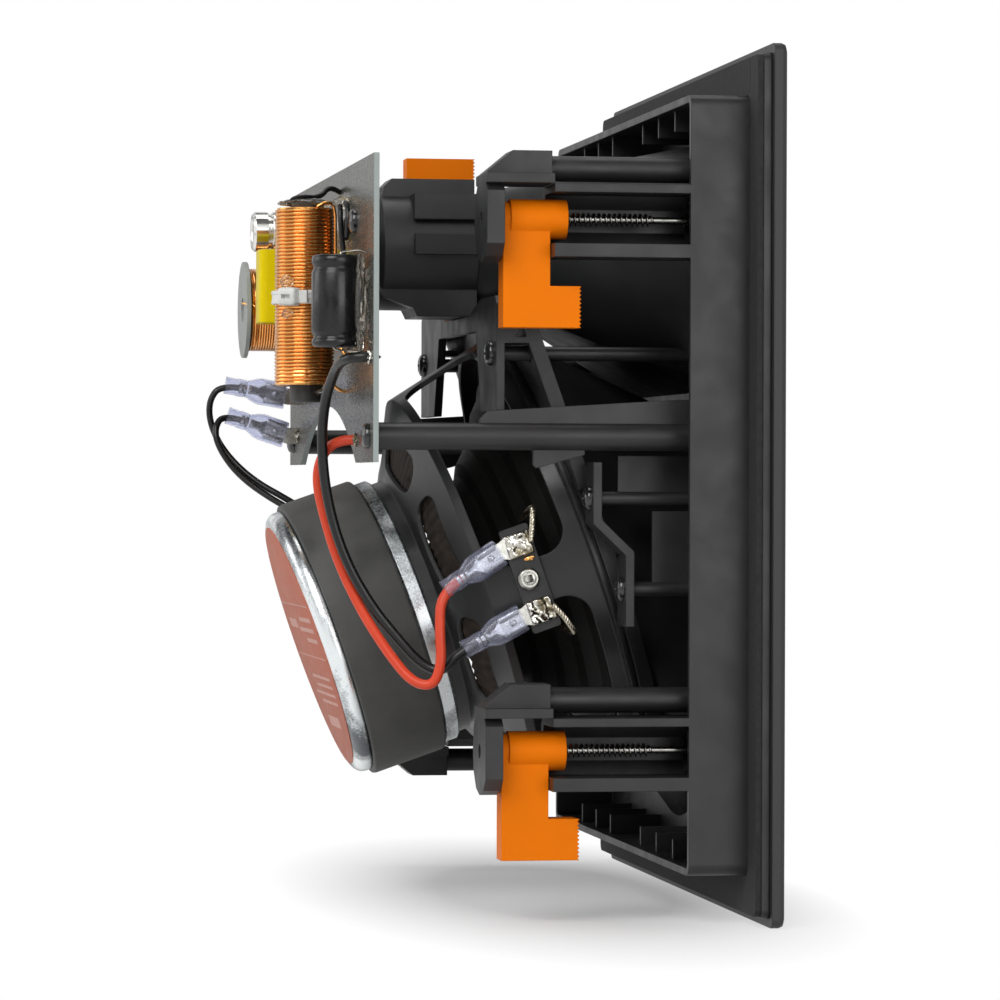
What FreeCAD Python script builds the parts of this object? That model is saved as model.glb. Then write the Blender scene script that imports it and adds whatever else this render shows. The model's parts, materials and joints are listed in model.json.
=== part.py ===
"""Square flush-mount ceiling speaker with a tilted woofer, a horn tweeter and a crossover board.

Millimetres and degrees.  The origin is the centre of the seat plane, where the sealing strip meets
the ceiling.  +X points out of the front into the room, +Z is up as the speaker stands in a wall,
and Y runs across it.  The clamps are copies of each other by a half turn about X.
"""
import FreeCAD, Part
import math
import os
from types import SimpleNamespace

import Sketcher

Vector = FreeCAD.Vector
Rotation = FreeCAD.Rotation
Placement = FreeCAD.Placement

doc = FreeCAD.newDocument("ceiling_speaker")


class Dim:
    """A size: its value, and the spreadsheet expression that gives it."""

    def __init__(self, value, text):
        self.value = float(value)
        self.text = text

    @staticmethod
    def of(item):
        return item if isinstance(item, Dim) else Dim(item, f"({float(item):.6g})")

    def __add__(self, other):
        other = Dim.of(other)
        return Dim(self.value + other.value, f"({self.text} + {other.text})")

    def __radd__(self, other):
        return Dim.of(other) + self

    def __sub__(self, other):
        other = Dim.of(other)
        return Dim(self.value - other.value, f"({self.text} - {other.text})")

    def __rsub__(self, other):
        return Dim.of(other) - self

    def __mul__(self, other):
        other = Dim.of(other)
        return Dim(self.value * other.value, f"({self.text} * {other.text})")

    def __rmul__(self, other):
        return Dim.of(other) * self

    def __truediv__(self, other):
        other = Dim.of(other)
        return Dim(self.value / other.value, f"({self.text} / {other.text})")

    def __neg__(self):
        return Dim(-self.value, f"(0 - {self.text})")

    def __float__(self):
        return self.value


def sine(angle):
    """Sine of an angle in degrees."""
    return Dim(math.sin(math.radians(angle.value)), f"sin({angle.text})")


def cosine(angle):
    """Cosine of an angle in degrees."""
    return Dim(math.cos(math.radians(angle.value)), f"cos({angle.text})")


# Driving dimensions: alias, value, what it is
SIZES = [
    ("grilleside", 300.0, "outer side of the square grille"),
    ("grilledepth", 4.6, "depth of the grille's rim"),
    ("grillesheet", 1.2, "thickness of the grille"),
    ("grillerim", 3.2, "thickness of the grille's folded rim"),
    ("grillegap", 0.4, "groove between the grille's rim and the flange"),
    ("beadhigh", 1.6, "height of the bead that centres the grille"),
    ("beadwide", 2.0, "width of that bead"),
    ("grilleround", 1.8, "rounding of the grille's front edge"),
    ("flangeinset", 3.0, "flange's edge inside the grille's edge"),
    ("flangethick", 2.6, "thickness of the flange and baffle"),
    ("sealthick", 2.0, "thickness of the foam sealing strip"),
    ("sealinset", 0.6, "sealing strip's edge inside the flange's edge"),
    ("sealslit", 0.6, "slit where the strip's ends meet"),
    ("wallside", 266.8, "outer side of the wall that passes the cut-out"),
    ("wallthick", 2.5, "thickness of that wall"),
    ("walldepth", 20.5, "depth of that wall behind the seat"),
    ("finpitch", 30.0, "spacing of the fins inside the top and bottom walls"),
    ("finheight", 7.0, "height of those fins"),
    ("finthick", 1.4, "thickness of those fins"),
    ("clampacross", 120.0, "clamp axis from the middle, across"),
    ("clampup", 90.9, "clamp axis from the middle, upwards"),
    ("channelradius", 8.7, "inner radius of the clamp channel"),
    ("channelwall", 2.9, "wall of the clamp channel"),
    ("shelfthick", 4.6, "thickness of the channel's outer shelf"),
    ("channelrear", 67.4, "rear end of the clamp channel"),
    ("guideoffset", 17.3, "guide post from the clamp axis"),
    ("guideradius", 4.4, "radius of the guide post"),
    ("caprear", 90.7, "rear face of the clamp cap"),
    ("capthick", 6.1, "thickness of the cap's end plate"),
    ("capradius", 15.0, "radius of the cap's end plate"),
    ("capledge", 3.3, "thickness of the cap's ledge"),
    ("capboxrear", 81.0, "rear end of the cap's socket box"),
    ("capboxhigh", 23.0, "top of the cap's socket box above the clamp axis"),
    ("capboxwide", 15.0, "width of the cap's socket box"),
    ("socketdeep", 9.0, "depth that the guide post enters the cap"),
    ("fitclear", 0.2, "clearance of parts that are slid together"),
    ("armwide", 16.2, "length of the clamp arm along its screw"),
    ("armthick", 10.5, "thickness of the clamp arm"),
    ("armreach", 37.2, "reach of the clamp arm from its axis"),
    ("hubradius", 6.8, "radius of the clamp arm's hub"),
    ("hubneck", 5.9, "radius of the hub's rear neck"),
    ("hubnecklong", 3.0, "length of the hub's rear neck"),
    ("hubfront", 61.6, "front end of the hub"),
    ("footlong", 10.8, "how far the foot stands in front of the arm"),
    ("foothigh", 14.2, "height of the foot"),
    ("toothpitch", 1.4, "pitch of the serrations on the foot"),
    ("toothdeep", 0.7, "depth of those serrations"),
    ("clampgap", 0.35, "running gap between the hub and the cap"),
    ("screwradius", 2.35, "outer radius of the clamp screw's thread"),
    ("screwroot", 1.6, "radius of the clamp screw's plain shank"),
    ("shanklong", 30.3, "length of that plain shank behind the seat"),
    ("screwclear", 0.08, "radial running clearance of the clamp screw"),
    ("headradius", 4.7, "radius of the clamp screw's head"),
    ("headthick", 2.2, "thickness of that head"),
    ("postacross", 113.0, "board post from the middle, across"),
    ("postup", 16.6, "height of the board posts' axis"),
    ("postradius", 4.7, "radius of the board posts"),
    ("gussetrear", 90.0, "rear end of the gusset on a board post"),
    ("gussetlow", 8.8, "gusset's height above the post axis at its rear end"),
    ("gussethigh", 13.0, "gusset's height above the post axis at the wall"),
    ("gussetthick", 2.2, "thickness of the gusset"),
    ("webrear", 71.4, "rear end of the small web under the post"),
    ("webfront", 53.5, "front end of the small web under the post"),
    ("weblow", 10.8, "depth of that web below the post axis"),
    ("longrib", 39.5, "rear end of the rib over the middle ear post"),
    ("shortrib", 27.2, "rear end of the rib between the ear posts"),
    ("ribhigh", 14.9, "height of the long rib above the post's axis"),
    ("tilt", 19.5, "tilt of the woofer's axis"),
    ("wooferx", -43.6, "centre of the woofer's rim, along X"),
    ("wooferz", -26.5, "centre of the woofer's rim, along Z"),
    ("rimflat", 6.0, "width of the woofer's flat rim"),
    ("rimthick", 1.6, "thickness of the woofer's rim"),
    ("mouthclear", 2.0, "basket's mouth outside the surround's roll"),
    ("basketshoulder", 75.0, "outer radius of the basket's shoulder"),
    ("basketseat", 48.0, "radius of the basket's seat on the top plate"),
    ("basketsheet", 1.6, "sheet thickness of the basket"),
    ("shoulderback", 39.2, "shoulder behind the rim plane"),
    ("seatback", 57.2, "basket seat behind the rim plane"),
    ("legwide", 16.0, "width of a basket leg"),
    ("windowfront", 7.0, "front edge of a window behind the rim plane"),
    ("windowrear", 36.0, "rear edge of a window behind the rim plane"),
    ("windowround", 9.0, "corner radius of a window"),
    ("ventlong", 36.0, "length of a vent slot in the basket's cone"),
    ("ventinner", 51.5, "inner edge of a vent slot from the woofer's axis"),
    ("ventouter", 64.7, "outer edge of a vent slot from the woofer's axis"),
    ("topplateradius", 50.0, "radius of the top plate"),
    ("topplatethick", 6.0, "thickness of the top plate"),
    ("magnetradius", 54.0, "radius of the ferrite ring"),
    ("magnetbore", 24.0, "bore radius of the ferrite ring"),
    ("magnetthick", 23.5, "thickness of the ferrite ring"),
    ("backplateradius", 50.0, "radius of the back plate"),
    ("backplatethick", 6.0, "thickness of the back plate"),
    ("backplatebevel", 2.6, "bevel of the back plate's rear edge"),
    ("poleradius", 17.6, "radius of the pole piece"),
    ("coilradius", 18.4, "inner radius of the voice coil"),
    ("coilwall", 0.7, "thickness of the voice coil and its former"),
    ("coilgap", 0.8, "gap between the voice coil and the top plate"),
    ("labelradius", 46.0, "radius of the rear label"),
    ("labelthick", 0.3, "thickness of the rear label"),
    ("coneradius", 70.0, "outer radius of the cone"),
    ("conesheet", 0.9, "thickness of the cone"),
    ("surroundradius", 82.0, "outer radius of the surround's roll"),
    ("surroundsheet", 0.9, "thickness of the surround"),
    ("spiderradius", 44.4, "outer radius of the spider"),
    ("stripback", 24.1, "terminal strip's centre behind the rim plane"),
    ("stripup", 2.0, "terminal strip's centre above the woofer's axis"),
    ("striplong", 38.0, "length of the terminal strip"),
    ("stripwide", 10.5, "width of the terminal strip"),
    ("stripthick", 1.6, "thickness of the terminal strip"),
    ("stripclear", 0.43, "strip's inner face off the basket's leg at its front edge"),
    ("tabhigh", 12.4, "upper tab above the strip's centre"),
    ("tablow", 11.9, "lower tab below the strip's centre"),
    ("tabwide", 6.3, "width of a push-on tab"),
    ("tabthick", 0.8, "thickness of a push-on tab"),
    ("cradlelip", 1.5, "cradle ring's edge outside the woofer's rim"),
    ("cradlethick", 5.0, "thickness of the cradle ring"),
    ("skirtwall", 2.0, "wall of the sealing skirt"),
    ("openingradius", 72.0, "radius of the woofer opening in the baffle"),
    ("openingz", -48.0, "centre of that opening"),
    ("earthick", 3.0, "thickness of the cradle's ears"),
    ("tweeterz", 85.5, "height of the tweeter's axis"),
    ("housingradius", 21.6, "radius of the tweeter housing"),
    ("housingrail", 4.6, "height of the rail along the top of the tweeter housing"),
    ("housingkeel", 24.3, "underside of the tweeter housing's foot below its axis"),
    ("housingrear", 114.5, "rear end of the tweeter housing"),
    ("housingfront", 76.0, "front end of the tweeter housing"),
    ("throatradius", 19.0, "radius of the horn's throat"),
    ("hornwall", 2.2, "wall of the horn"),
    ("neckdepth", 52.0, "horn's neck behind the seat"),
    ("neckwide", 82.0, "width of the horn's neck"),
    ("neckhigh", 48.0, "height of the horn's neck"),
    ("neckround", 19.0, "corner radius of the horn's neck"),
    ("flaredepth", 24.0, "horn's flare behind the seat"),
    ("flarewide", 150.0, "width of the horn's flare"),
    ("flarehigh", 68.0, "height of the horn's flare"),
    ("flareround", 22.0, "corner radius of the horn's flare"),
    ("mouthwide", 210.0, "width of the horn's mouth"),
    ("mouthhigh", 84.0, "height of the horn's mouth"),
    ("mouthz", 78.0, "centre of the horn's mouth"),
    ("mouthround", 24.0, "corner radius of the horn's mouth"),
    ("boardrear", 128.3, "rear face of the crossover board"),
    ("boardthick", 1.9, "thickness of the crossover board"),
    ("boardhalf", 125.0, "half of the crossover board's width"),
    ("boardlow", 7.6, "bottom edge of the crossover board"),
    ("boardhigh", 112.6, "top edge of the crossover board"),
    ("archacross", 5.0, "middle of the arch, across"),
    ("archhalf", 83.0, "half of the arch's width at the board's bottom edge"),
    ("archtop", 28.6, "top of the arch"),
    ("leadradius", 1.8, "radius of the woofer leads"),
    ("thinradius", 1.25, "radius of the input leads"),
]

sheet = doc.addObject("Spreadsheet::Sheet", "Sizes")
S = SimpleNamespace()
for row, (alias, amount, meaning) in enumerate(SIZES, start=1):
    sheet.set(f"A{row}", str(amount))
    sheet.setAlias(f"A{row}", alias)
    sheet.set(f"B{row}", meaning)
    setattr(S, alias, Dim(amount, f"Sizes.{alias}"))
doc.recompute()

NODES = []


# Drawing helpers

def keep(item):
    """Notes an object whose shape is one of the part's pieces."""
    NODES.append(item)
    return item


def new_body(label):
    body = doc.addObject("PartDesign::Body", label)
    body.Label = label
    return body


def origin_plane(body, role):
    for item in body.Origin.OriginFeatures:
        if item.Role == role:
            return item
    raise ValueError(role)


def pin(sketch, shape, point, spot):
    """Fixes a point of a shape at a place given by sizes."""
    for kind, item in zip(("DistanceX", "DistanceY"), spot):
        item = Dim.of(item)
        number = sketch.addConstraint(Sketcher.Constraint(kind, -1, 1, shape, point, item.value))
        sketch.setExpression(f"Constraints[{number}]", item.text)


def draw_polygon(sketch, points):
    points = [(Dim.of(a), Dim.of(b)) for a, b in points]
    corners = [Vector(a.value, b.value, 0) for a, b in points]
    lines = []
    for start, end in zip(corners, corners[1:] + corners[:1]):
        lines.append(sketch.addGeometry(Part.LineSegment(start, end), False))
    for line, follower in zip(lines, lines[1:] + lines[:1]):
        sketch.addConstraint(Sketcher.Constraint("Coincident", line, 2, follower, 1))
    for line, spot in zip(lines, points):
        pin(sketch, line, 1, spot)


def draw_circle(sketch, centre, radius):
    centre = (Dim.of(centre[0]), Dim.of(centre[1]))
    radius = Dim.of(radius)
    middle = Vector(centre[0].value, centre[1].value, 0)
    ring = sketch.addGeometry(Part.Circle(middle, Vector(0, 0, 1), radius.value), False)
    pin(sketch, ring, 3, centre)
    number = sketch.addConstraint(Sketcher.Constraint("Radius", ring, radius.value))
    sketch.setExpression(f"Constraints[{number}]", radius.text)


def draw_rounded(sketch, centre, wide, high, radius):
    """A rectangle with rounded corners, as four lines and four tangent arcs."""
    cx, cy, wide, high, radius = (Dim.of(item) for item in (*centre, wide, high, radius))
    reach = wide / 2 - radius
    rise = high / 2 - radius
    corners = [(cx + reach, cy + rise), (cx - reach, cy + rise), (cx - reach, cy - rise), (cx + reach, cy - rise)]
    arcs = []
    for quarter, (ax, ay) in enumerate(corners):
        ring = Part.Circle(Vector(ax.value, ay.value, 0), Vector(0, 0, 1), radius.value)
        start = quarter * math.pi / 2
        arcs.append(sketch.addGeometry(Part.ArcOfCircle(ring, start, start + math.pi / 2), False))
        number = sketch.addConstraint(Sketcher.Constraint("Radius", arcs[-1], radius.value))
        sketch.setExpression(f"Constraints[{number}]", radius.text)
        pin(sketch, arcs[-1], 3, (ax, ay))
    for arc, follower in zip(arcs, arcs[1:] + arcs[:1]):
        start = sketch.getPoint(arc, 2)
        end = sketch.getPoint(follower, 1)
        line = sketch.addGeometry(Part.LineSegment(start, end), False)
        sketch.addConstraint(Sketcher.Constraint("Tangent", arc, 2, line, 1))
        sketch.addConstraint(Sketcher.Constraint("Tangent", line, 2, follower, 1))


def new_sketch(body, name, role, polygons=(), circles=(), rounded=(), offset=0, shift=(0, 0), tilted=False,
               turned_by=None):
    """A sketch on one of the body's own planes, moved along its normal by offset and within it by shift.

    A tilted sketch starts from the YZ plane and lies square to the woofer's axis, offset from its rim.
    A sketch can also be turned by an angle about its own normal.
    """
    sketch = body.newObject("Sketcher::SketchObject", name)
    sketch.AttachmentSupport = [(origin_plane(body, role), "")]
    sketch.MapMode = "FlatFace"
    base = (Dim.of(shift[0]), Dim.of(shift[1]), Dim.of(offset))
    turn = Rotation()
    if tilted:
        along = base[2]
        base = (base[0], S.wooferz + sine(S.tilt) * along, S.wooferx + cosine(S.tilt) * along)
        turn = Rotation(Vector(-1, 0, 0), S.tilt.value)
    if turned_by is not None:
        turn = Rotation(Vector(0, 0, 1), turned_by.value)
    sketch.AttachmentOffset = Placement(Vector(*(item.value for item in base)), turn)
    for letter, item in zip("xyz", base):
        sketch.setExpression(f"AttachmentOffset.Base.{letter}", item.text)
    if tilted:
        sketch.setExpression("AttachmentOffset.Rotation.Angle", S.tilt.text)
    if turned_by is not None:
        sketch.setExpression("AttachmentOffset.Rotation.Angle", turned_by.text)
    for points in polygons:
        draw_polygon(sketch, points)
    for centre, radius in circles:
        draw_circle(sketch, centre, radius)
    for item in rounded:
        draw_rounded(sketch, *item)
    return sketch


def pad(body, name, sketch, length, reverse=False):
    feature = body.newObject("PartDesign::Pad", name)
    feature.Profile = sketch
    length = Dim.of(length)
    feature.Length = length.value
    feature.setExpression("Length", length.text)
    feature.Reversed = reverse
    return feature


def pocket(body, name, sketch, length, reverse=False):
    feature = body.newObject("PartDesign::Pocket", name)
    feature.Profile = sketch
    length = Dim.of(length)
    feature.Length = length.value
    feature.setExpression("Length", length.text)
    feature.Reversed = reverse
    return feature


def revolve(body, name, sketch, axis="H_Axis"):
    feature = body.newObject("PartDesign::Revolution", name)
    feature.Profile = sketch
    feature.ReferenceAxis = (sketch, [axis])
    feature.Angle = 360
    return feature


def turned(label, points):
    """A piece turned about X from a closed half profile of (along, radius) points."""
    body = new_body(label)
    sketch = new_sketch(body, f"{label}_profile", "XY_Plane", polygons=[points])
    revolve(body, f"{label}_turned", sketch)
    return body


def loft(body, name, sections, cut=False):
    """Joins sketches by straight-sided lofts, added or cut away."""
    feature = body.newObject("PartDesign::SubtractiveLoft" if cut else "PartDesign::AdditiveLoft", name)
    feature.Profile = sections[0]
    feature.Sections = sections[1:]
    feature.Ruled = True
    return feature


def draw_arc(sketch, centre, radius, start, end, start_pin=None, end_pin=None):
    """An arc about a pinned centre; each end is held by one ordinate, given as (kind, size)."""
    centre = (Dim.of(centre[0]), Dim.of(centre[1]))
    radius = Dim.of(radius)
    ring = Part.Circle(Vector(centre[0].value, centre[1].value, 0), Vector(0, 0, 1), radius.value)
    arc = sketch.addGeometry(Part.ArcOfCircle(ring, start, end), False)
    pin(sketch, arc, 3, centre)
    number = sketch.addConstraint(Sketcher.Constraint("Radius", arc, radius.value))
    sketch.setExpression(f"Constraints[{number}]", radius.text)
    for point, held in ((1, start_pin), (2, end_pin)):
        kind, size = held[0], Dim.of(held[1])
        number = sketch.addConstraint(Sketcher.Constraint(kind, -1, 1, arc, point, size.value))
        sketch.setExpression(f"Constraints[{number}]", size.text)
    return arc


def close_arcs(sketch, outer, inner):
    """Joins the ends of two arcs that run the same way by straight lines."""
    for point in (1, 2):
        line = sketch.addGeometry(Part.LineSegment(sketch.getPoint(outer, point), sketch.getPoint(inner, point)), False)
        sketch.addConstraint(Sketcher.Constraint("Coincident", line, 1, outer, point))
        sketch.addConstraint(Sketcher.Constraint("Coincident", line, 2, inner, point))


def draw_dome(sketch, base, radius, rise, wall):
    """Half the section of a domed shell whose edge lies at base and whose crown stands rise in front."""
    base, radius, rise, wall = (Dim.of(item) for item in (base, radius, rise, wall))
    ball = (radius * radius + rise * rise) / (rise * 2)
    centre = base + rise - ball
    arcs = []
    for size in (ball, ball - wall):
        end = math.acos((base.value - centre.value) / size.value)
        arcs.append(draw_arc(sketch, (centre, 0), size, 0, end, ("DistanceY", 0), ("DistanceX", base)))
    close_arcs(sketch, *arcs)


def draw_roll(sketch, centre, radius, wall):
    """The half-round section of a surround, open to the rear."""
    centre = (Dim.of(centre[0]), Dim.of(centre[1]))
    arcs = []
    for size in (Dim.of(radius), Dim.of(radius) - wall):
        arcs.append(draw_arc(sketch, centre, size, -math.pi / 2, math.pi / 2,
                             ("DistanceX", centre[0]), ("DistanceX", centre[0])))
    close_arcs(sketch, *arcs)


def polar(body, name, features, count, sketch):
    feature = body.newObject("PartDesign::PolarPattern", name)
    feature.Originals = features
    feature.Axis = (sketch, ["H_Axis"])
    feature.Angle = 360
    feature.Occurrences = count
    body.Tip = feature
    return feature


def tilt_with_woofer(item):
    """Places an object that is drawn on the woofer's own axis."""
    item.Placement = Placement(Vector(S.wooferx.value, 0, S.wooferz.value), Rotation(Vector(0, -1, 0), S.tilt.value))
    item.setExpression("Placement.Base.x", S.wooferx.text)
    item.setExpression("Placement.Base.z", S.wooferz.text)
    item.setExpression("Placement.Rotation.Angle", S.tilt.text)
    return keep(item)


def shape_piece(label, shape):
    feature = doc.addObject("Part::Feature", label)
    feature.Label = label
    feature.Shape = shape
    return keep(feature)


def rectangle(low, high):
    """The corners of a rectangle from its lowest and highest corner."""
    return [(low[0], low[1]), (high[0], low[1]), (high[0], high[1]), (low[0], high[1])]


# Places that several pieces share, along X
FLANGE_REAR = S.sealthick
FLANGE_FRONT = FLANGE_REAR + S.flangethick
GRILLE_REAR = FLANGE_FRONT + S.grillegap
CAP_FACE = S.caprear - S.capthick
BOARD_FRONT = S.boardrear - S.boardthick
FLANGE_SIDE = S.grilleside - S.flangeinset * 2
# Radii about the woofer's axis: the basket's mouth carries the rim, which the cradle ring and skirt follow
BASKET_MOUTH = S.surroundradius + S.mouthclear
RIM_RADIUS = BASKET_MOUTH + S.rimflat
CRADLE_RADIUS = RIM_RADIUS + S.cradlelip
SKIRT_RADIUS = BASKET_MOUTH + S.skirtwall
# The four clamps as (across, up) signs: the near pair swings down, the far pair is turned half round
CLAMPS = [(-1, 1), (-1, -1), (1, 1), (1, -1)]


def clamp_centre(side, level):
    return side * S.clampacross, level * S.clampup


def guide_centre(side, level):
    across, up = clamp_centre(side, level)
    return across, up - side * S.guideoffset


HEAD_SINK = Dim.of(1.2)
BOARD_SCREW = Dim.of(1.5)
EAR_SCREW = Dim.of(1.3)
EAR_POST = Dim.of(2.6)
PILOT_DEEP = Dim.of(12.0)
SEAT_PAPER = S.surroundsheet
BEAD_SIDE = S.grilleside - (S.grillerim + S.fitclear) * 2
CRADLE_FRONT = SEAT_PAPER + S.cradlethick
UPPER_EAR = (Dim.of(83.0), Dim.of(46.0), Dim.of(81.0))
# The side ears as name, across, up and how far their rear face lies behind the seat
SIDE_EARS = [
    ("middle", CRADLE_RADIUS + 8.5, Dim.of(-4.6), Dim.of(49.0)),
    ("lower", CRADLE_RADIUS + 8.5, Dim.of(-36.0), Dim.of(37.5)),
]


# Mounting frame: flange, wall, clamp channels, posts and sealing skirt in one moulding

def build_frame():
    body = new_body("mounting_frame")
    plate = new_sketch(
        body, "baffle_outline", "YZ_Plane",
        rounded=[((0, 0), FLANGE_SIDE, FLANGE_SIDE, 3.0),((0, S.mouthz), S.mouthwide, S.mouthhigh, S.mouthround)],
        circles=[((0, S.openingz), S.openingradius)], offset=FLANGE_REAR)
    pad(body, "baffle", plate, S.flangethick)
    outer = S.wallside / 2
    inner = outer - S.wallthick
    wall = new_sketch(
        body, "wall_outline", "YZ_Plane",
        rounded=[((0, 0), S.wallside, S.wallside, 4.0), ((0, 0), inner * 2, inner * 2, 2.0)], offset=-S.walldepth)
    pad(body, "wall", wall, S.walldepth + FLANGE_REAR)

    fins = []
    for level in (-1, 1):
        for step in (-3, -2, -1, 1, 2, 3):
            middle = step * S.finpitch
            low = (middle - S.finthick / 2, level * inner + level * 0.2)
            high = (middle + S.finthick / 2, level * (inner - S.finheight))
            fins.append(rectangle(low, high))
    pad(body, "wall_fins", new_sketch(body, "fin_outlines", "YZ_Plane", polygons=fins, offset=-S.walldepth + 3),
        S.walldepth + FLANGE_REAR - 3)

    channels = []
    for side, level in CLAMPS:
        across, up = clamp_centre(side, level)
        out = side * outer
        back = side * (S.clampacross - S.channelradius - S.channelwall)
        inside = side * (S.clampacross - S.channelradius * 0.72)
        inside_back = side * (S.clampacross - S.channelradius)
        bore = S.channelradius
        chamfer = S.channelradius * 0.45
        shelf = up - side * (bore + S.channelwall)
        floor = up + side * (bore + S.shelfthick)
        channels.append([
            (out, shelf), (back + side * 3.0, shelf), (back, shelf + side * 3.0), (back, floor - side * 3.0),
            (back + side * 3.0, floor), (out, floor), (out, up + side * bore), (inside, up + side * bore),
            (inside_back, up + side * chamfer), (inside_back, up - side * chamfer), (inside, up - side * bore),
            (out, up - side * bore)])
    pad(body, "clamp_channels",
        new_sketch(body, "channel_outlines", "YZ_Plane", polygons=channels, offset=-S.channelrear),
        S.channelrear + FLANGE_REAR)

    guides = [(guide_centre(side, level), S.guideradius) for side, level in CLAMPS]
    pad(body, "guide_posts",
        new_sketch(body, "guide_outlines", "YZ_Plane", circles=guides, offset=-S.channelrear - S.socketdeep),
        S.channelrear + S.socketdeep + FLANGE_REAR)

    posts = [((side * S.postacross, S.postup), S.postradius) for side in (-1, 1)]
    pad(body, "board_posts", new_sketch(body, "post_outlines", "YZ_Plane", circles=posts, offset=-BOARD_FRONT),
        BOARD_FRONT + FLANGE_REAR)
    for side, name in ((-1, "near"), (1, "far")):
        gusset = [
            (-S.gussetrear, S.postup), (FLANGE_REAR, S.postup), (FLANGE_REAR, S.postup + S.gussethigh),
            (-S.walldepth, S.postup + S.gussethigh), (-S.gussetrear + 3, S.postup + S.gussetlow),
            (-S.gussetrear, S.postup + S.gussetlow - 3)]
        plane_offset = -side * S.postacross - S.gussetthick / 2
        pad(body, f"{name}_gusset",
            new_sketch(body, f"{name}_gusset_outline", "XZ_Plane", polygons=[gusset], offset=plane_offset),
            S.gussetthick)
        web = [
            (-S.webrear, S.postup), (-S.webfront, S.postup), (-S.webfront, S.postup - S.postradius - 1.5),
            (-S.webrear + 1, S.postup - S.weblow), (-S.webrear, S.postup - S.weblow + 1)]
        pad(body, f"{name}_web",
            new_sketch(body, f"{name}_web_outline", "XZ_Plane", polygons=[web], offset=plane_offset), S.gussetthick)

    for name, across, up, rear in SIDE_EARS:
        spots = [(side * across, up) for side in (-1, 1)]
        pad(body, f"{name}_ear_posts",
            new_sketch(body, f"{name}_ear_post_outlines", "YZ_Plane", circles=[(spot, EAR_POST) for spot in spots],
                       offset=-rear + S.earthick),
            rear - S.earthick + FLANGE_REAR)
        pocket(body, f"{name}_ear_pilots",
               new_sketch(body, f"{name}_ear_pilot_outlines", "YZ_Plane",
                          circles=[(spot, EAR_SCREW + S.fitclear) for spot in spots], offset=-rear + S.earthick - 1),
               PILOT_DEEP + 1, reverse=True)

    # Ribs on the baffle, in line with the ear posts
    across, high_post, low_post = SIDE_EARS[0][1], SIDE_EARS[0][2], SIDE_EARS[1][2]
    foot = EAR_POST * 0.75
    ribs = [rectangle((-S.longrib, high_post + foot), (FLANGE_REAR, high_post + S.ribhigh)),
            rectangle((-S.shortrib, low_post + foot), (FLANGE_REAR, high_post - EAR_POST - 1.7))]
    for side, name in ((-1, "near"), (1, "far")):
        pad(body, f"{name}_ribs",
            new_sketch(body, f"{name}_rib_outlines", "XZ_Plane", polygons=ribs,
                       offset=-side * across - S.gussetthick / 2), S.gussetthick)

    outer_ring = [new_sketch(body, "skirt_rear_outside", "YZ_Plane", circles=[((0, 0), SKIRT_RADIUS)],
                             offset=CRADLE_FRONT, tilted=True),
                  new_sketch(body, "skirt_front_outside", "YZ_Plane",
                             circles=[((0, S.openingz), S.openingradius + S.skirtwall)], offset=FLANGE_REAR)]
    loft(body, "skirt_outside", outer_ring)
    bore_ring = [new_sketch(body, "skirt_rear_inside", "YZ_Plane",
                            circles=[((0, 0), BASKET_MOUTH)], offset=CRADLE_FRONT, tilted=True),
                 new_sketch(body, "skirt_front_inside", "YZ_Plane",
                            circles=[((0, S.openingz), S.openingradius)], offset=FLANGE_REAR)]
    loft(body, "skirt_inside", bore_ring, cut=True)

    bead = new_sketch(body, "grille_bead_outline", "YZ_Plane", offset=FLANGE_FRONT, rounded=[
        ((0, 0), BEAD_SIDE, BEAD_SIDE, 3.0), ((0, 0), BEAD_SIDE - S.beadwide * 2, BEAD_SIDE - S.beadwide * 2, 2.0)])
    pad(body, "grille_bead", bead, S.grillegap + S.beadhigh)

    holes = [(clamp_centre(side, level), S.screwroot + S.screwclear) for side, level in CLAMPS]
    pocket(body, "clamp_screw_holes",
           new_sketch(body, "clamp_screw_outlines", "YZ_Plane", circles=holes, offset=FLANGE_FRONT + 1),
           S.flangethick + 3)
    heads = [(clamp_centre(side, level), S.headradius + S.fitclear) for side, level in CLAMPS]
    pocket(body, "clamp_head_recesses",
           new_sketch(body, "clamp_head_outlines", "YZ_Plane", circles=heads, offset=FLANGE_FRONT + 1),
           HEAD_SINK + 1)
    pilots = [((side * S.postacross, S.postup), BOARD_SCREW + S.fitclear) for side in (-1, 1)]
    pocket(body, "board_screw_holes",
           new_sketch(body, "board_screw_outlines", "YZ_Plane", circles=pilots, offset=-BOARD_FRONT - 1),
           13, reverse=True)
    return body


keep(build_frame())


# Clamps: cap, arm and screw, drawn at the near upper place and turned half round for the far side

def place_clamp(item, side, level):
    """Moves a clamp piece, drawn on its own axis with its arm hanging down, to its place."""
    across, up = clamp_centre(side, level)
    turn = 0 if side < 0 else 180
    item.Placement = Placement(Vector(0, across.value, up.value), Rotation(Vector(1, 0, 0), turn))
    item.setExpression("Placement.Base.y", across.text)
    item.setExpression("Placement.Base.z", up.text)
    return keep(item)


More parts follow.
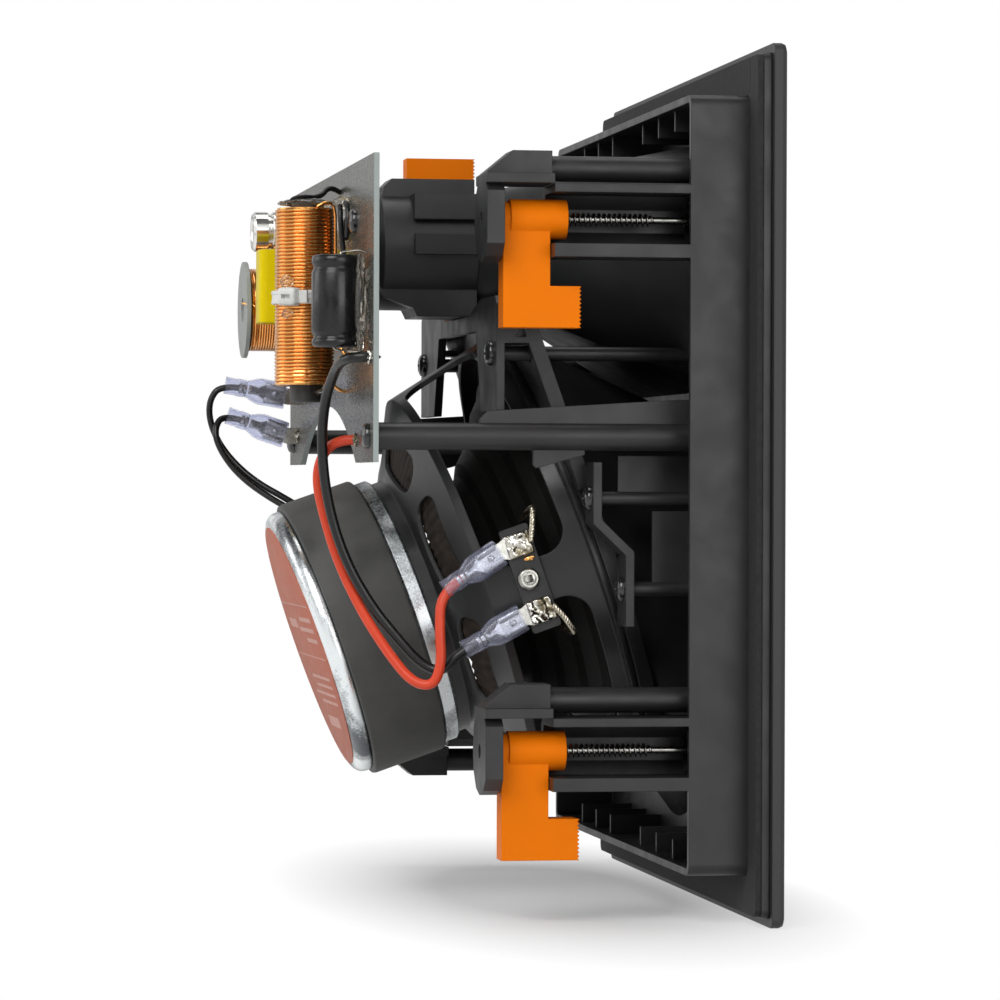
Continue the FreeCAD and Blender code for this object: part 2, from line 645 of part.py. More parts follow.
def build_cap(label):
    body = new_body(label)
    near = S.clampacross - S.wallside / 2
    reach = S.capradius
    lip = S.capradius * 0.5
    tall = S.capradius * 0.87
    disc = [
        (near, -lip * 1.2), (near, lip * 1.2), (-lip * 1.1, tall), (0, reach), (lip, tall), (tall, lip), (reach, 0),
        (tall, -lip), (lip, -tall), (0, -reach), (-lip * 1.1, -tall)]
    pad(body, f"{label}_plate", new_sketch(body, f"{label}_disc", "YZ_Plane", polygons=[disc], offset=-S.caprear),
        S.capthick)
    seat = S.channelradius + S.channelwall + S.fitclear / 2
    ledge = rectangle((near, seat), (S.capradius * 0.8, seat + S.capledge))
    pad(body, f"{label}_ledge",
        new_sketch(body, f"{label}_ledge_outline", "YZ_Plane", polygons=[ledge], offset=-S.caprear),
        S.caprear - S.channelrear)
    box = [
        (-S.channelrear, seat), (-S.channelrear, S.capboxhigh), (-S.capboxrear, S.capboxhigh),
        (-S.caprear, seat + S.capledge), (-S.caprear, seat)]
    pad(body, f"{label}_box",
        new_sketch(body, f"{label}_box_outline", "XZ_Plane", polygons=[box], offset=-S.capboxwide / 2), S.capboxwide)
    pocket(body, f"{label}_bearing",
           new_sketch(body, f"{label}_bearing_outline", "YZ_Plane", circles=[((0, 0), S.screwradius + S.screwclear)],
                      offset=-S.caprear - 1), S.capthick + 2, reverse=True)
    pocket(body, f"{label}_socket",
           new_sketch(body, f"{label}_socket_outline", "YZ_Plane",
                      circles=[((0, S.guideoffset), S.guideradius + S.fitclear)], offset=-S.channelrear + 1),
           S.socketdeep + 1 + S.fitclear)
    return body


def build_arm(label):
    body = new_body(label)
    rear = CAP_FACE - S.clampgap
    hub = new_sketch(body, f"{label}_hub_outline", "YZ_Plane", circles=[((0, 0), S.hubradius)],
                     offset=-rear + S.hubnecklong)
    pad(body, f"{label}_hub", hub, rear - S.hubnecklong - S.hubfront)
    neck = new_sketch(body, f"{label}_neck_outline", "YZ_Plane", circles=[((0, 0), S.hubneck)], offset=-rear)
    pad(body, f"{label}_neck", neck, S.hubnecklong + 1)
    rear = rear - 0.4
    front = rear - S.armwide
    foot = front - S.footlong
    sole = -S.armreach
    heel = sole + S.foothigh
    outline = [(-rear, 0), (-rear, sole), (-foot, sole)]
    teeth = int(S.foothigh.value / S.toothpitch.value)
    for tooth in range(teeth):
        outline.append((-foot - S.toothdeep, sole + S.toothpitch * (tooth + 0.5)))
        outline.append((-foot, sole + S.toothpitch * (tooth + 1)))
    outline += [(-foot - S.toothdeep, heel), (-front, heel), (-front, 0)]
    pad(body, f"{label}_plate",
        new_sketch(body, f"{label}_plate_outline", "XZ_Plane", polygons=[outline], offset=-S.armthick / 2), S.armthick)
    pocket(body, f"{label}_bore",
           new_sketch(body, f"{label}_bore_outline", "YZ_Plane", circles=[((0, 0), S.screwradius + S.screwclear)],
                      offset=-CAP_FACE - 1), CAP_FACE, reverse=True)
    return body


def build_screw(label):
    rear = S.caprear + 1.5
    return turned(label, [
        (-rear, 0), (-rear, S.screwroot * 0.6), (-rear + 1.6, S.screwradius), (-S.shanklong - 1.0, S.screwradius),
        (-S.shanklong, S.screwroot), (FLANGE_FRONT - HEAD_SINK, S.screwroot),
        (FLANGE_FRONT - HEAD_SINK, S.headradius), (FLANGE_FRONT - HEAD_SINK + S.headthick * 0.45, S.headradius),
        (FLANGE_FRONT - HEAD_SINK + S.headthick * 0.7, S.headradius * 0.7), (FLANGE_FRONT - HEAD_SINK + S.headthick * 0.7, 0)])


for number, (side, level) in enumerate(CLAMPS, start=1):
    place_clamp(build_cap(f"clamp_cap_{number}"), side, level)
    place_clamp(build_arm(f"clamp_arm_{number}"), side, level)
    place_clamp(build_screw(f"clamp_screw_{number}"), side, level)


# Grille and sealing strip

def build_grille():
    body = new_body("grille")
    face = new_sketch(body, "grille_outline", "YZ_Plane", offset=GRILLE_REAR,
                      rounded=[((0, 0), S.grilleside, S.grilleside, 3.0)])
    pad(body, "grille_block", face, S.grilledepth - S.grilleround)
    edge = S.grilleside - S.grilleround * 2
    front = [new_sketch(body, "grille_edge_rear", "YZ_Plane", offset=GRILLE_REAR + S.grilledepth - S.grilleround,
                        rounded=[((0, 0), S.grilleside, S.grilleside, 3.0)]),
             new_sketch(body, "grille_edge_middle", "YZ_Plane", offset=GRILLE_REAR + S.grilledepth - S.grilleround * 0.3,
                        rounded=[((0, 0), S.grilleside - S.grilleround * 0.6, S.grilleside - S.grilleround * 0.6, 2.7)]),
             new_sketch(body, "grille_edge_front", "YZ_Plane", offset=GRILLE_REAR + S.grilledepth,
                        rounded=[((0, 0), edge, edge, 2.0)])]
    loft(body, "grille_edge", front)
    inside = S.grilleside - S.grillerim * 2
    hollow = new_sketch(body, "grille_hollow_outline", "YZ_Plane", offset=GRILLE_REAR - 1,
                        rounded=[((0, 0), inside, inside, 2.0)])
    pocket(body, "grille_hollow", hollow, S.grilledepth - S.grillesheet + 1, reverse=True)
    return body


def build_seal():
    body = new_body("sealing_gasket")
    outer = FLANGE_SIDE - S.sealinset * 2
    inner = S.wallside + S.fitclear * 2
    ring = new_sketch(body, "seal_outline", "YZ_Plane", rounded=[
        ((0, 0), outer, outer, 3.0), ((0, 0), inner, inner, 4.0)])
    pad(body, "seal_ring", ring, S.sealthick)
    corner = inner / 2
    slit = rectangle((-corner - 0.2, corner), (-corner - 0.2 + S.sealslit, outer / 2 + 1))
    pocket(body, "seal_slit", new_sketch(body, "seal_slit_outline", "YZ_Plane", polygons=[slit], offset=-1),
           S.sealthick + 2, reverse=True)
    return body


keep(build_grille())
keep(build_seal())


# Pan screws, shared by the cradle and the board

PAN_RADIUS = Dim.of(4.3)
PAN_THICK = Dim.of(2.5)


def pan_screw(label, seat, across, up, long, radius):
    """A pan-head screw whose head lies behind its seat and whose shank runs forward."""
    body = turned(label, [
        (seat, PAN_RADIUS), (seat - PAN_THICK * 0.5, PAN_RADIUS), (seat - PAN_THICK * 0.85, PAN_RADIUS * 0.75),
        (seat - PAN_THICK, PAN_RADIUS * 0.35), (seat - PAN_THICK, 0), (seat + long, 0), (seat + long, radius * 0.4),
        (seat + long - radius, radius), (seat, radius)])
    across, up = Dim.of(across), Dim.of(up)
    body.Placement = Placement(Vector(0, across.value, up.value), Rotation())
    body.setExpression("Placement.Base.y", across.text)
    body.setExpression("Placement.Base.z", up.text)
    return body


def group(label, members):
    """Several like solids that make one piece of the list."""
    item = doc.addObject("Part::Compound", label)
    item.Label = label
    item.Links = members
    return keep(item)


# Cradle: the tilted ring that carries the woofer, with shoulders, a yoke and ears to the posts

CROWN_TOP = S.tweeterz - S.housingkeel - S.fitclear * 2
CROWN_LOW = CROWN_TOP - 5.8
SHELF_THICK = Dim.of(2.2)


def shoulder_depth(level):
    """Where the middle of the tilted shoulders lies along X at a height."""
    middle = SEAT_PAPER + S.cradlethick / 2
    above = level - S.wooferz - sine(S.tilt) * middle
    return S.wooferx + cosine(S.tilt) * middle - above * sine(S.tilt) / cosine(S.tilt)


def build_cradle():
    body = new_body("woofer_cradle")
    ring = new_sketch(body, "cradle_ring_outline", "YZ_Plane", tilted=True, offset=SEAT_PAPER,
                      circles=[((0, 0), CRADLE_RADIUS)])
    pad(body, "cradle_ring", ring, S.cradlethick)
    across, up, rear = UPPER_EAR
    outer = across + 9.5
    inner = across - 9.0
    top = Dim.of(98.0)
    saddle = Dim.of(90.0)
    shoulders = [(-outer, 26), (-outer, top), (-inner + 8, top), (-inner + 24, saddle), (inner - 24, saddle),
                 (inner - 8, top), (outer, top), (outer, 26)]
    pad(body, "cradle_shoulders",
        new_sketch(body, "shoulder_outline", "YZ_Plane", tilted=True, offset=SEAT_PAPER, polygons=[shoulders]),
        S.cradlethick)
    far_half = [(outer, up - 20), (outer, up + 17), (outer - 3, up + 20), (inner - 18, up + 20), (inner - 46, CROWN_TOP)]
    arch = [(inner - 28, CROWN_LOW), (inner - 16, up - 20)]
    yoke = far_half + [(-y, z) for y, z in far_half[::-1]] + [(-y, z) for y, z in arch[::-1]] + arch
    pad(body, "yoke", new_sketch(body, "yoke_outline", "YZ_Plane", polygons=[yoke], offset=-rear), S.earthick)
    for side, name in ((-1, "near"), (1, "far")):
        flange = [
            (-rear, up + 5), (-rear, up + 17), (-rear + 3, up + 20), (shoulder_depth(up + 20), up + 20),
            (shoulder_depth(up + 12), up + 12), (-rear + 6, up + 5)]
        pad(body, f"{name}_yoke_flange",
            new_sketch(body, f"{name}_yoke_flange_outline", "XZ_Plane", polygons=[flange],
                       offset=-side * (outer - S.gussetthick / 2) - S.gussetthick / 2), S.gussetthick)
        level = up + EAR_POST + 0.8
        shelf = rectangle((side * (inner - 2), level), (side * outer, level + SHELF_THICK))
        root = -rear + S.earthick / 2
        pad(body, f"{name}_shelf",
            new_sketch(body, f"{name}_shelf_outline", "YZ_Plane", polygons=[shelf], offset=root),
            shoulder_depth(level + SHELF_THICK / 2) - root)
        step_rear = SIDE_EARS[0][3]
        step_front = SIDE_EARS[1][3]
        strap = [
            (-step_rear, 8), (-step_rear + S.earthick, 8), (-step_rear + S.earthick, -12.0),
            (-step_front + S.earthick, -23.0), (-step_front + S.earthick, -49), (-step_front, -49),
            (-step_front, -24.3), (-step_rear, -13.3)]
        ear_in = RIM_RADIUS + 0.3
        ear_out = SIDE_EARS[0][1] + 6.5
        pad(body, f"{name}_side_ears",
            new_sketch(body, f"{name}_side_ear_outline", "XZ_Plane", polygons=[strap],
                       offset=-ear_out if side > 0 else ear_in), ear_out - ear_in)
    through = S.cradlethick * 6
    bore = new_sketch(body, "cradle_bore_outline", "YZ_Plane", tilted=True, offset=SEAT_PAPER - through,
                      circles=[((0, 0), BASKET_MOUTH)])
    pocket(body, "cradle_bore", bore, S.cradlethick + through * 2, reverse=True)
    reliefs = [((side * across, up), EAR_POST + 0.5) for side in (-1, 1)]
    pocket(body, "post_reliefs",
           new_sketch(body, "post_relief_outlines", "YZ_Plane", circles=reliefs, offset=-rear + S.earthick),
           40, reverse=True)
    holes = [UPPER_EAR] + [ear[1:] for ear in SIDE_EARS]
    for number, (place, level, depth) in enumerate(holes):
        spots = [((side * place, level), EAR_SCREW + S.fitclear) for side in (-1, 1)]
        pocket(body, f"ear_holes_{number}",
               new_sketch(body, f"ear_hole_outlines_{number}", "YZ_Plane", circles=spots, offset=-depth - 1),
               S.earthick + 2, reverse=True)
    return body


keep(build_cradle())

ear_screws = []
for name, across, up, rear in [("upper", *UPPER_EAR), *SIDE_EARS]:
    for side in (-1, 1):
        ear_screws.append(pan_screw(f"{name}_ear_screw_{'near' if side < 0 else 'far'}", -rear, side * across, up,
                                    PILOT_DEEP, EAR_SCREW))
group("cradle_screws", ear_screws)


# Woofer, drawn on its own axis with its rim at the origin, and tilted as a whole

SEAT = -S.seatback
PLATE_REAR = SEAT - S.topplatethick
MAGNET_REAR = PLATE_REAR - S.magnetthick
MOTOR_REAR = MAGNET_REAR - S.backplatethick


def build_basket():
    body = new_body("woofer_basket")
    skin = S.basketsheet
    profile = [
        (SEAT, 24), (SEAT, S.basketseat), (SEAT + 4.5, S.basketseat), (-S.shoulderback, S.basketshoulder),
        (-S.rimthick, BASKET_MOUTH), (-S.rimthick, RIM_RADIUS), (0, RIM_RADIUS), (0, BASKET_MOUTH - skin),
        (-S.shoulderback + skin * 0.6, S.basketshoulder - skin), (SEAT + 4.5 + skin * 0.5, S.basketseat - skin),
        (SEAT + skin, S.basketseat - skin), (SEAT + skin, 24)]
    sketch = new_sketch(body, "basket_profile", "XY_Plane", polygons=[profile])
    revolve(body, "basket_shell", sketch)
    # Cuts from the side and from above leave four legs between the windows
    along = -(S.windowfront + S.windowrear) / 2
    reach = S.basketshoulder * 0.88
    spot = (reach + S.legwide / 2) / 2
    size = (S.windowrear - S.windowfront, reach - S.legwide / 2, S.windowround)
    for role, name in (("XZ_Plane", "side"), ("XY_Plane", "upper")):
        windows = new_sketch(body, f"{name}_window_outlines", role, offset=RIM_RADIUS + 10,
                             rounded=[((along, sign * spot), *size) for sign in (-1, 1)])
        pocket(body, f"{name}_windows", windows, (RIM_RADIUS + 10) * 2)
    vent_middle = (S.ventinner + S.ventouter) / 2
    vent = new_sketch(body, "vent_outline", "YZ_Plane", offset=SEAT - 5, turned_by=VENT_TURN,
                      rounded=[((0, 0), S.ventlong, S.ventouter - S.ventinner, (S.ventouter - S.ventinner) * 0.45)],
                      shift=(-sine(VENT_TURN) * vent_middle, cosine(VENT_TURN) * vent_middle))
    polar(body, "vents", [pocket(body, "vent", vent, 26, reverse=True)], VENTS, sketch)
    lug = new_sketch(body, "lug_hole_outline", "XZ_Plane", offset=RIM_RADIUS,
                     circles=[((-S.stripback, S.stripup), STRIP_SCREW + S.fitclear)])
    pocket(body, "lug_hole", lug, 25)
    return body


VENTS = 8
VENT_TURN = Dim.of(180 / VENTS)
STRIP_SCREW = Dim.of(1.5)

tilt_with_woofer(build_basket())
COIL_OUT = S.coilradius + S.coilwall
tilt_with_woofer(turned("woofer_top_plate", [
    (PLATE_REAR, COIL_OUT + S.coilgap), (PLATE_REAR, S.topplateradius - 0.8), (PLATE_REAR + 0.8, S.topplateradius),
    (SEAT - 0.8, S.topplateradius), (SEAT, S.topplateradius - 0.8), (SEAT, COIL_OUT + S.coilgap)]))
tilt_with_woofer(turned("woofer_magnet", [
    (MAGNET_REAR, S.magnetbore), (MAGNET_REAR, S.magnetradius - 1.0), (MAGNET_REAR + 1.0, S.magnetradius),
    (PLATE_REAR - 1.0, S.magnetradius), (PLATE_REAR, S.magnetradius - 1.0), (PLATE_REAR, S.magnetbore)]))
tilt_with_woofer(turned("woofer_back_plate", [
    (MOTOR_REAR, 0), (MOTOR_REAR, S.backplateradius - S.backplatebevel),
    (MOTOR_REAR + S.backplatebevel * 0.4, S.backplateradius - S.backplatebevel * 0.4),
    (MOTOR_REAR + S.backplatebevel, S.backplateradius), (MAGNET_REAR, S.backplateradius),
    (MAGNET_REAR, S.poleradius), (SEAT, S.poleradius), (SEAT, 0)]))
tilt_with_woofer(turned("woofer_label", [
    (MOTOR_REAR - S.labelthick, 0), (MOTOR_REAR - S.labelthick, S.labelradius), (MOTOR_REAR, S.labelradius),
    (MOTOR_REAR, 0)]))

NECK = Dim.of(-44.0)
CONE_EDGE = Dim.of(-4.2)


def build_cone():
    """The cone, pressed with concentric ridges."""
    neck_radius = COIL_OUT + GLUE
    rings = 12
    rear, front = [], []
    for step in range(rings + 1):
        part = step / rings
        radius = neck_radius + (S.coneradius - neck_radius) * part
        along = NECK + (CONE_EDGE - NECK) * round(part ** 0.9, 4)
        ridge = 0.55 if step % 2 else -0.55
        rear.append((along + ridge, radius))
        front.append((along + ridge + S.conesheet * 1.25, radius))
    return turned("woofer_cone", rear + front[::-1])


GLUE = Dim.of(0.1)
tilt_with_woofer(build_cone())


def build_surround():
    body = new_body("woofer_surround")
    roll = (S.surroundradius - S.coneradius) / 2
    sheet_thick = S.surroundsheet
    middle = S.surroundradius - roll
    sketch = new_sketch(body, "roll_profile", "XY_Plane")
    draw_roll(sketch, (0, middle), roll, sheet_thick)
    revolve(body, "roll", sketch)
    rim = rectangle((0, S.surroundradius - sheet_thick), (sheet_thick, RIM_RADIUS - 1.5))
    revolve(body, "rim_flat", new_sketch(body, "rim_profile", "XY_Plane", polygons=[rim]))
    lip = [(0, S.coneradius + sheet_thick), (0, S.coneradius - 3), (sheet_thick, S.coneradius - 3),
           (sheet_thick, S.coneradius + sheet_thick)]
    revolve(body, "cone_flat", new_sketch(body, "lip_profile", "XY_Plane", polygons=[lip]))
    return body


tilt_with_woofer(build_surround())


def build_dust_cap():
    body = new_body("woofer_dust_cap")
    sketch = new_sketch(body, "dust_cap_profile", "XY_Plane")
    draw_dome(sketch, DUST_BASE, S.coilradius + 9.0, 9.0, 0.8)
    revolve(body, "dust_cap_dome", sketch)
    return body


DUST_BASE = NECK + 8.7
tilt_with_woofer(build_dust_cap())

tilt_with_woofer(turned("voice_coil", [
    (PLATE_REAR - 3, S.coilradius), (PLATE_REAR - 3, COIL_OUT), (NECK + 3, COIL_OUT), (NECK + 3, S.coilradius)]))


def build_spider():
    """The corrugated suspension from the coil to the basket's floor."""
    inner = COIL_OUT + GLUE
    outer = S.spiderradius
    level = SEAT + 7.0
    waves = 8
    rear, front = [], []
    for step in range(waves + 1):
        radius = inner + (outer - inner) * (step / waves)
        ridge = 0.9 if step % 2 else -0.9
        rear.append((level + ridge, radius))
        front.append((level + ridge + 0.9, radius))
    foot = [(level + 0.9, outer + 1.2), (SEAT + S.basketsheet, outer + 1.2), (SEAT + S.basketsheet, outer)]
    return turned("woofer_spider", front + foot + rear[::-1])


tilt_with_woofer(build_spider())


# Terminal strip on the near leg, with its screw, tabs and braided leads to the cone

LEG_SLOPE = (BASKET_MOUTH - S.basketshoulder) / (S.shoulderback - S.rimthick)
STRIP_OUT = BASKET_MOUTH - LEG_SLOPE * (S.stripback - S.stripwide / 2 - S.rimthick) + S.stripclear
STRIP_FACE = STRIP_OUT + S.stripthick


def build_strip():
    body = new_body("terminal_strip")
    outline = new_sketch(body, "strip_outline", "XZ_Plane", offset=STRIP_OUT,
                         rounded=[((-S.stripback, S.stripup), S.stripwide, S.striplong, 1.0)],
                         circles=[((-S.stripback, S.stripup), STRIP_SCREW + S.fitclear)])
    pad(body, "strip_plate", outline, S.stripthick)
    return body


def build_strip_screw():
    body = new_body("terminal_strip_screw")
    head = Dim.of(3.6)
    profile = [
        (0, -STRIP_FACE - 1.8), (head * 0.8, -STRIP_FACE - 1.8), (head, -STRIP_FACE - 1.2), (head, -STRIP_FACE),
        (STRIP_SCREW, -STRIP_FACE), (STRIP_SCREW, -STRIP_FACE + 9.0), (0, -STRIP_FACE + 9.8)]
    sketch = new_sketch(body, "strip_screw_profile", "XY_Plane", polygons=[profile], offset=S.stripup,
                        shift=(-S.stripback, 0))
    revolve(body, "strip_screw_turned", sketch, "V_Axis")
    socket = new_sketch(body, "strip_screw_socket", "XZ_Plane", offset=STRIP_FACE + 1.8 + 1,
                        rounded=[((-S.stripback, S.stripup), 2.6, 2.6, 0.3)])
    pocket(body, "strip_screw_drive", socket, 2.2)
    return body


TAB_ROOT = S.stripback + S.stripwide / 2 + 1.1
TAB_MIDDLE = STRIP_FACE + S.tabthick / 2
UPPER_TAB = (S.stripup + S.tabhigh, Dim.of(14.3))
LOWER_TAB = (S.stripup - S.tablow, Dim.of(9.2))


def build_strip_tab(label, level, angle):
    """A tab soldered to the strip, whose blade points rearward and slightly down."""
    body = new_body(label)
    slope = sine(angle) / cosine(angle)
    long = Dim.of(7.5)
    half = S.tabwide / 2
    pad_half = Dim.of(4.0)
    front = -S.stripback + 4.2
    outline = [
        (front, level + pad_half), (front, level - pad_half), (-TAB_ROOT + 2, level - pad_half),
        (-TAB_ROOT, level - half), (-TAB_ROOT - long, level - half - slope * long),
        (-TAB_ROOT - long, level + half - slope * long), (-TAB_ROOT, level + half), (-TAB_ROOT + 2, level + pad_half)]
    pad(body, f"{label}_plate",
        new_sketch(body, f"{label}_outline", "XZ_Plane", polygons=[outline], offset=STRIP_FACE), S.tabthick)
    return body


def tilt_only(item):
    """Places an object with the woofer without listing it as a piece."""
    tilt_with_woofer(item)
    NODES.remove(item)
    return item


tilt_with_woofer(build_strip())
tilt_with_woofer(build_strip_screw())
group("terminal_tabs", [tilt_only(build_strip_tab("upper_tab", *UPPER_TAB)),
                        tilt_only(build_strip_tab("lower_tab", *LOWER_TAB))])


# Cords and wires: straight runs joined by tangent arcs

def cord_shape(label, points, radius):
    """A round tube along a list of points, each corner rounded as far as its two runs allow."""
    points = [Vector(*point) for point in points]
    edges = []
    tightest = None
    start = points[0]
    for before, corner, after in zip(points, points[1:], points[2:]):
        arrive = corner - before
        leave = after - corner
        turn = arrive.getAngle(leave)
        reach = 0.45 * min(arrive.Length, leave.Length)
        bend = reach / math.tan(turn / 2)
        tightest = bend if tightest is None else min(tightest, bend)
        arrive.normalize()
        leave.normalize()
        first = corner - arrive * reach
        last = corner + leave * reach
        half_way = leave - arrive
        half_way.normalize()
        middle = corner + half_way * (bend / math.cos(turn / 2) - bend)
        edges.append(Part.LineSegment(start, first).toShape())
        edges.append(Part.Arc(first, middle, last).toShape())
        start = last
    edges.append(Part.LineSegment(start, points[-1]).toShape())
    path = Part.Wire(edges)
    heading = points[1] - points[0]
    section = Part.Wire(Part.Circle(points[0], heading, radius).toShape())
    tube = path.makePipeShell([section], True, False)
    expected = math.pi * radius ** 2 * path.Length
    print(f"{label}: length {path.Length:.1f}, tightest bend {tightest:.1f}, volume share {tube.Volume / expected:.4f}")
    return tube


# Routes as they hang: from the receptacle to the board, and from the board to the input terminal
RED_ROUTE = [
    (-90.4, -82.3, -32.0), (-98.7, -82.3, -37.6), (-99.6, -84.5, -51.0), (-99.8, -86.0, -63.8),
    (-103.8, -85.0, -72.9), (-110.9, -82.5, -70.9), (-117.6, -80.0, -60.2), (-125.4, -77.5, -45.6),
    (-133.7, -75.5, -28.2), (-139.1, -76.0, -11.4), (-142.2, -78.0, 2.2), (-139.8, -79.3, 11.2),
    (-134.4, -80.0, 15.6), (-128.4, -80.0, 15.6)]
BLACK_ROUTE = [
    (-83.1, -82.3, -53.7), (-91.9, -82.3, -58.5), (-98.2, -80.2, -66.0), (-105.6, -77.5, -62.4),
    (-112.9, -74.0, -53.8), (-121.9, -69.0, -42.0), (-130.7, -65.5, -25.9), (-136.7, -65.0, -6.5),
    (-139.2, -67.5, 13.1), (-139.5, -79.0, 28.7), (-138.5, -96.0, 38.4), (-137.4, -109.5, 42.3),
    (-133.8, -117.0, 43.5), (-128.4, -117.0, 43.5)]
INPUT_ROUTE_1 = [
    (-148.3, 98.0, 36.8), (-158.1, 98.0, 38.5), (-162.9, 98.5, 32.5), (-162.5, 98.5, 23.2), (-157.3, 96.0, 12.4),
    (-146.9, 91.0, 1.7), (-132.0, 86.0, -6.7), (-111.7, 84.0, -19.4), (-90.5, 86.0, -35.5), (-66.0, 94.0, -51.0),
    (-43.0, 102.0, -58.5), (-22.4, 105.0, -60.0)]
INPUT_ROUTE_2 = [
    (-147.7, 98.0, 23.9), (-157.1, 98.0, 27.1), (-161.3, 94.0, 21.6), (-159.5, 92.5, 13.6), (-152.0, 90.5, 3.2),
    (-138.9, 86.0, -6.4), (-119.8, 81.0, -16.3), (-98.6, 79.5, -30.8), (-78.0, 83.5, -45.5), (-58.0, 92.0, -57.0),
    (-39.5, 100.5, -64.5), (-22.5, 105.0, -67.0)]

shape_piece("red_lead", cord_shape("red_lead", RED_ROUTE, S.leadradius.value))
shape_piece("black_lead", cord_shape("black_lead", BLACK_ROUTE, S.leadradius.value))
shape_piece("input_lead_1", cord_shape("input_lead_1", INPUT_ROUTE_1, S.thinradius.value))
shape_piece("input_lead_2", cord_shape("input_lead_2", INPUT_ROUTE_2, S.thinradius.value))

# The braided leads leave the tabs, pass through the windows and end on the cone
braids = []
for name, route in (
        ("upper", [(-17.6, -82.4, 17.0), (-17.2, -80.0, 24.5), (-15.6, -52.5, 21.0)]),
        ("lower", [(-17.6, -82.4, -12.0), (-15.5, -79.5, -19.5), (-15.6, -52.5, -19.0)])):
    braid = doc.addObject("Part::Feature", f"{name}_braid")
    braid.Shape = cord_shape(f"{name}_braid", route, 0.9)
    braids.append(tilt_only(braid))
group("tinsel_leads", braids)


# Push-on receptacles with clear sleeves: drawn with the blade's root at the origin, pointing rearward

BOARD_TAB_ROOT = Dim.of(132.5)
INPUT_TAB_ACROSS = Dim.of(98.0)


def strip_place(level, angle):
    """Where a strip tab's root lies, and how far its receptacle turns about the across axis."""
    along = -TAB_ROOT
    x = S.wooferx + cosine(S.tilt) * along - sine(S.tilt) * level
    z = S.wooferz + sine(S.tilt) * along + cosine(S.tilt) * level
    return x, -TAB_MIDDLE, z, -(S.tilt + angle)


RECEPTACLES = {
    "red": strip_place(*UPPER_TAB),
    "black": strip_place(*LOWER_TAB),
    "input_1": (-BOARD_TAB_ROOT, INPUT_TAB_ACROSS, Dim.of(34.0), Dim.of(10.0)),
    "input_2": (-BOARD_TAB_ROOT, INPUT_TAB_ACROSS, Dim.of(18.8), Dim.of(18.6)),
}


def place_receptacle(item, place):
    x, y, z, angle = place
    item.Placement = Placement(Vector(x.value, y.value, z.value), Rotation(Vector(0, 1, 0), angle.value))
    for letter, size in zip("xyz", (x, y, z)):
        item.setExpression(f"Placement.Base.{letter}", size.text)
    item.setExpression("Placement.Rotation.Angle", angle.text)
    return item


def build_receptacle(label):
    body = new_body(label)
    pad(body, f"{label}_box", new_sketch(body, f"{label}_box_outline", "YZ_Plane", offset=-11,
                                         rounded=[((0, 0), 3.2, 7.4, 1.0)]), 9.5)
    pad(body, f"{label}_barrel", new_sketch(body, f"{label}_barrel_outline", "YZ_Plane", offset=-15.9,
                                            circles=[((0, 0), 2.0)]), 5.5)
    slot = rectangle((-(S.tabthick + S.fitclear) / 2, -(S.tabwide + S.fitclear) / 2),
                     ((S.tabthick + S.fitclear) / 2, (S.tabwide + S.fitclear) / 2))
    pocket(body, f"{label}_slot", new_sketch(body, f"{label}_slot_outline", "YZ_Plane", polygons=[slot], offset=-1), 9)
    return body


def build_sleeve(label):
    body = new_body(label)
    stations = [(-1.2, 5.6, 9.6, 2.6), (-12.0, 5.6, 9.6, 2.6), (-16.5, 5.8, 5.8, 2.8), (-24.5, 6.6, 6.6, 3.2)]
    wall = 1.4
    outer, inner = [], []
    for number, (along, thick, wide, round_off) in enumerate(stations):
        outer.append(new_sketch(body, f"{label}_outside_{number}", "YZ_Plane", offset=along,
                                rounded=[((0, 0), thick, wide, round_off)]))
    loft(body, f"{label}_outside", outer)
    for number, (along, thick, wide, round_off) in enumerate(stations):
        inner.append(new_sketch(body, f"{label}_inside_{number}", "YZ_Plane", offset=along,
                                rounded=[((0, 0), thick - wall, wide - wall, round_off - wall / 2)]))
    loft(body, f"{label}_inside", inner, cut=True)
    return body


group("push_on_receptacles",
      [place_receptacle(build_receptacle(f"{name}_receptacle"), place) for name, place in RECEPTACLES.items()])
group("receptacle_sleeves",
      [place_receptacle(build_sleeve(f"{name}_sleeve"), place) for name, place in RECEPTACLES.items()])


# Tweeter: housing with rails, dome and horn

def build_housing():
    body = new_body("tweeter_housing")
    core = [
        (-S.housingrear, 0), (-S.housingrear, S.housingradius - 3), (-S.housingrear + 1.5, S.housingradius - 1.5),
        (-S.housingrear + 4, S.housingradius), (-S.housingfront, S.housingradius), (-S.housingfront, 0)]
    sketch = new_sketch(body, "housing_profile", "XY_Plane", polygons=[core])
    revolve(body, "housing_core", sketch)
    rear, front, top, keel = -S.housingrear, -S.housingfront, S.housingradius + S.housingrail, -S.housingkeel
    blocks = [
        ("top_rail", 9.0, [(rear + 5, 0), (front, 0), (front, top), (rear + 8, top), (rear + 5, top - 3)]),
        ("upper_rails", 21.5, rectangle((rear + 14.7, 10.9), (front, 20.1))),
        ("lower_rails", 24.0, rectangle((rear + 14.7, -2.0), (front, 5.5))),
        ("foot", 16.0, [
            (rear + 2.5, keel + 15.8), (front, keel + 15.8), (front, keel), (rear + 16.5, keel), (rear + 15, keel + 3.1),
            (rear + 4.5, keel + 6.8), (rear + 2.5, keel + 8.8)]),
    ]
    for name, half, outline in blocks:
        pad(body, f"housing_{name}",
            new_sketch(body, f"housing_{name}_outline", "XZ_Plane", polygons=[outline], offset=-half), half * 2)
    body.Placement = Placement(Vector(0, 0, S.tweeterz.value), Rotation())
    body.setExpression("Placement.Base.z", S.tweeterz.text)
    return body


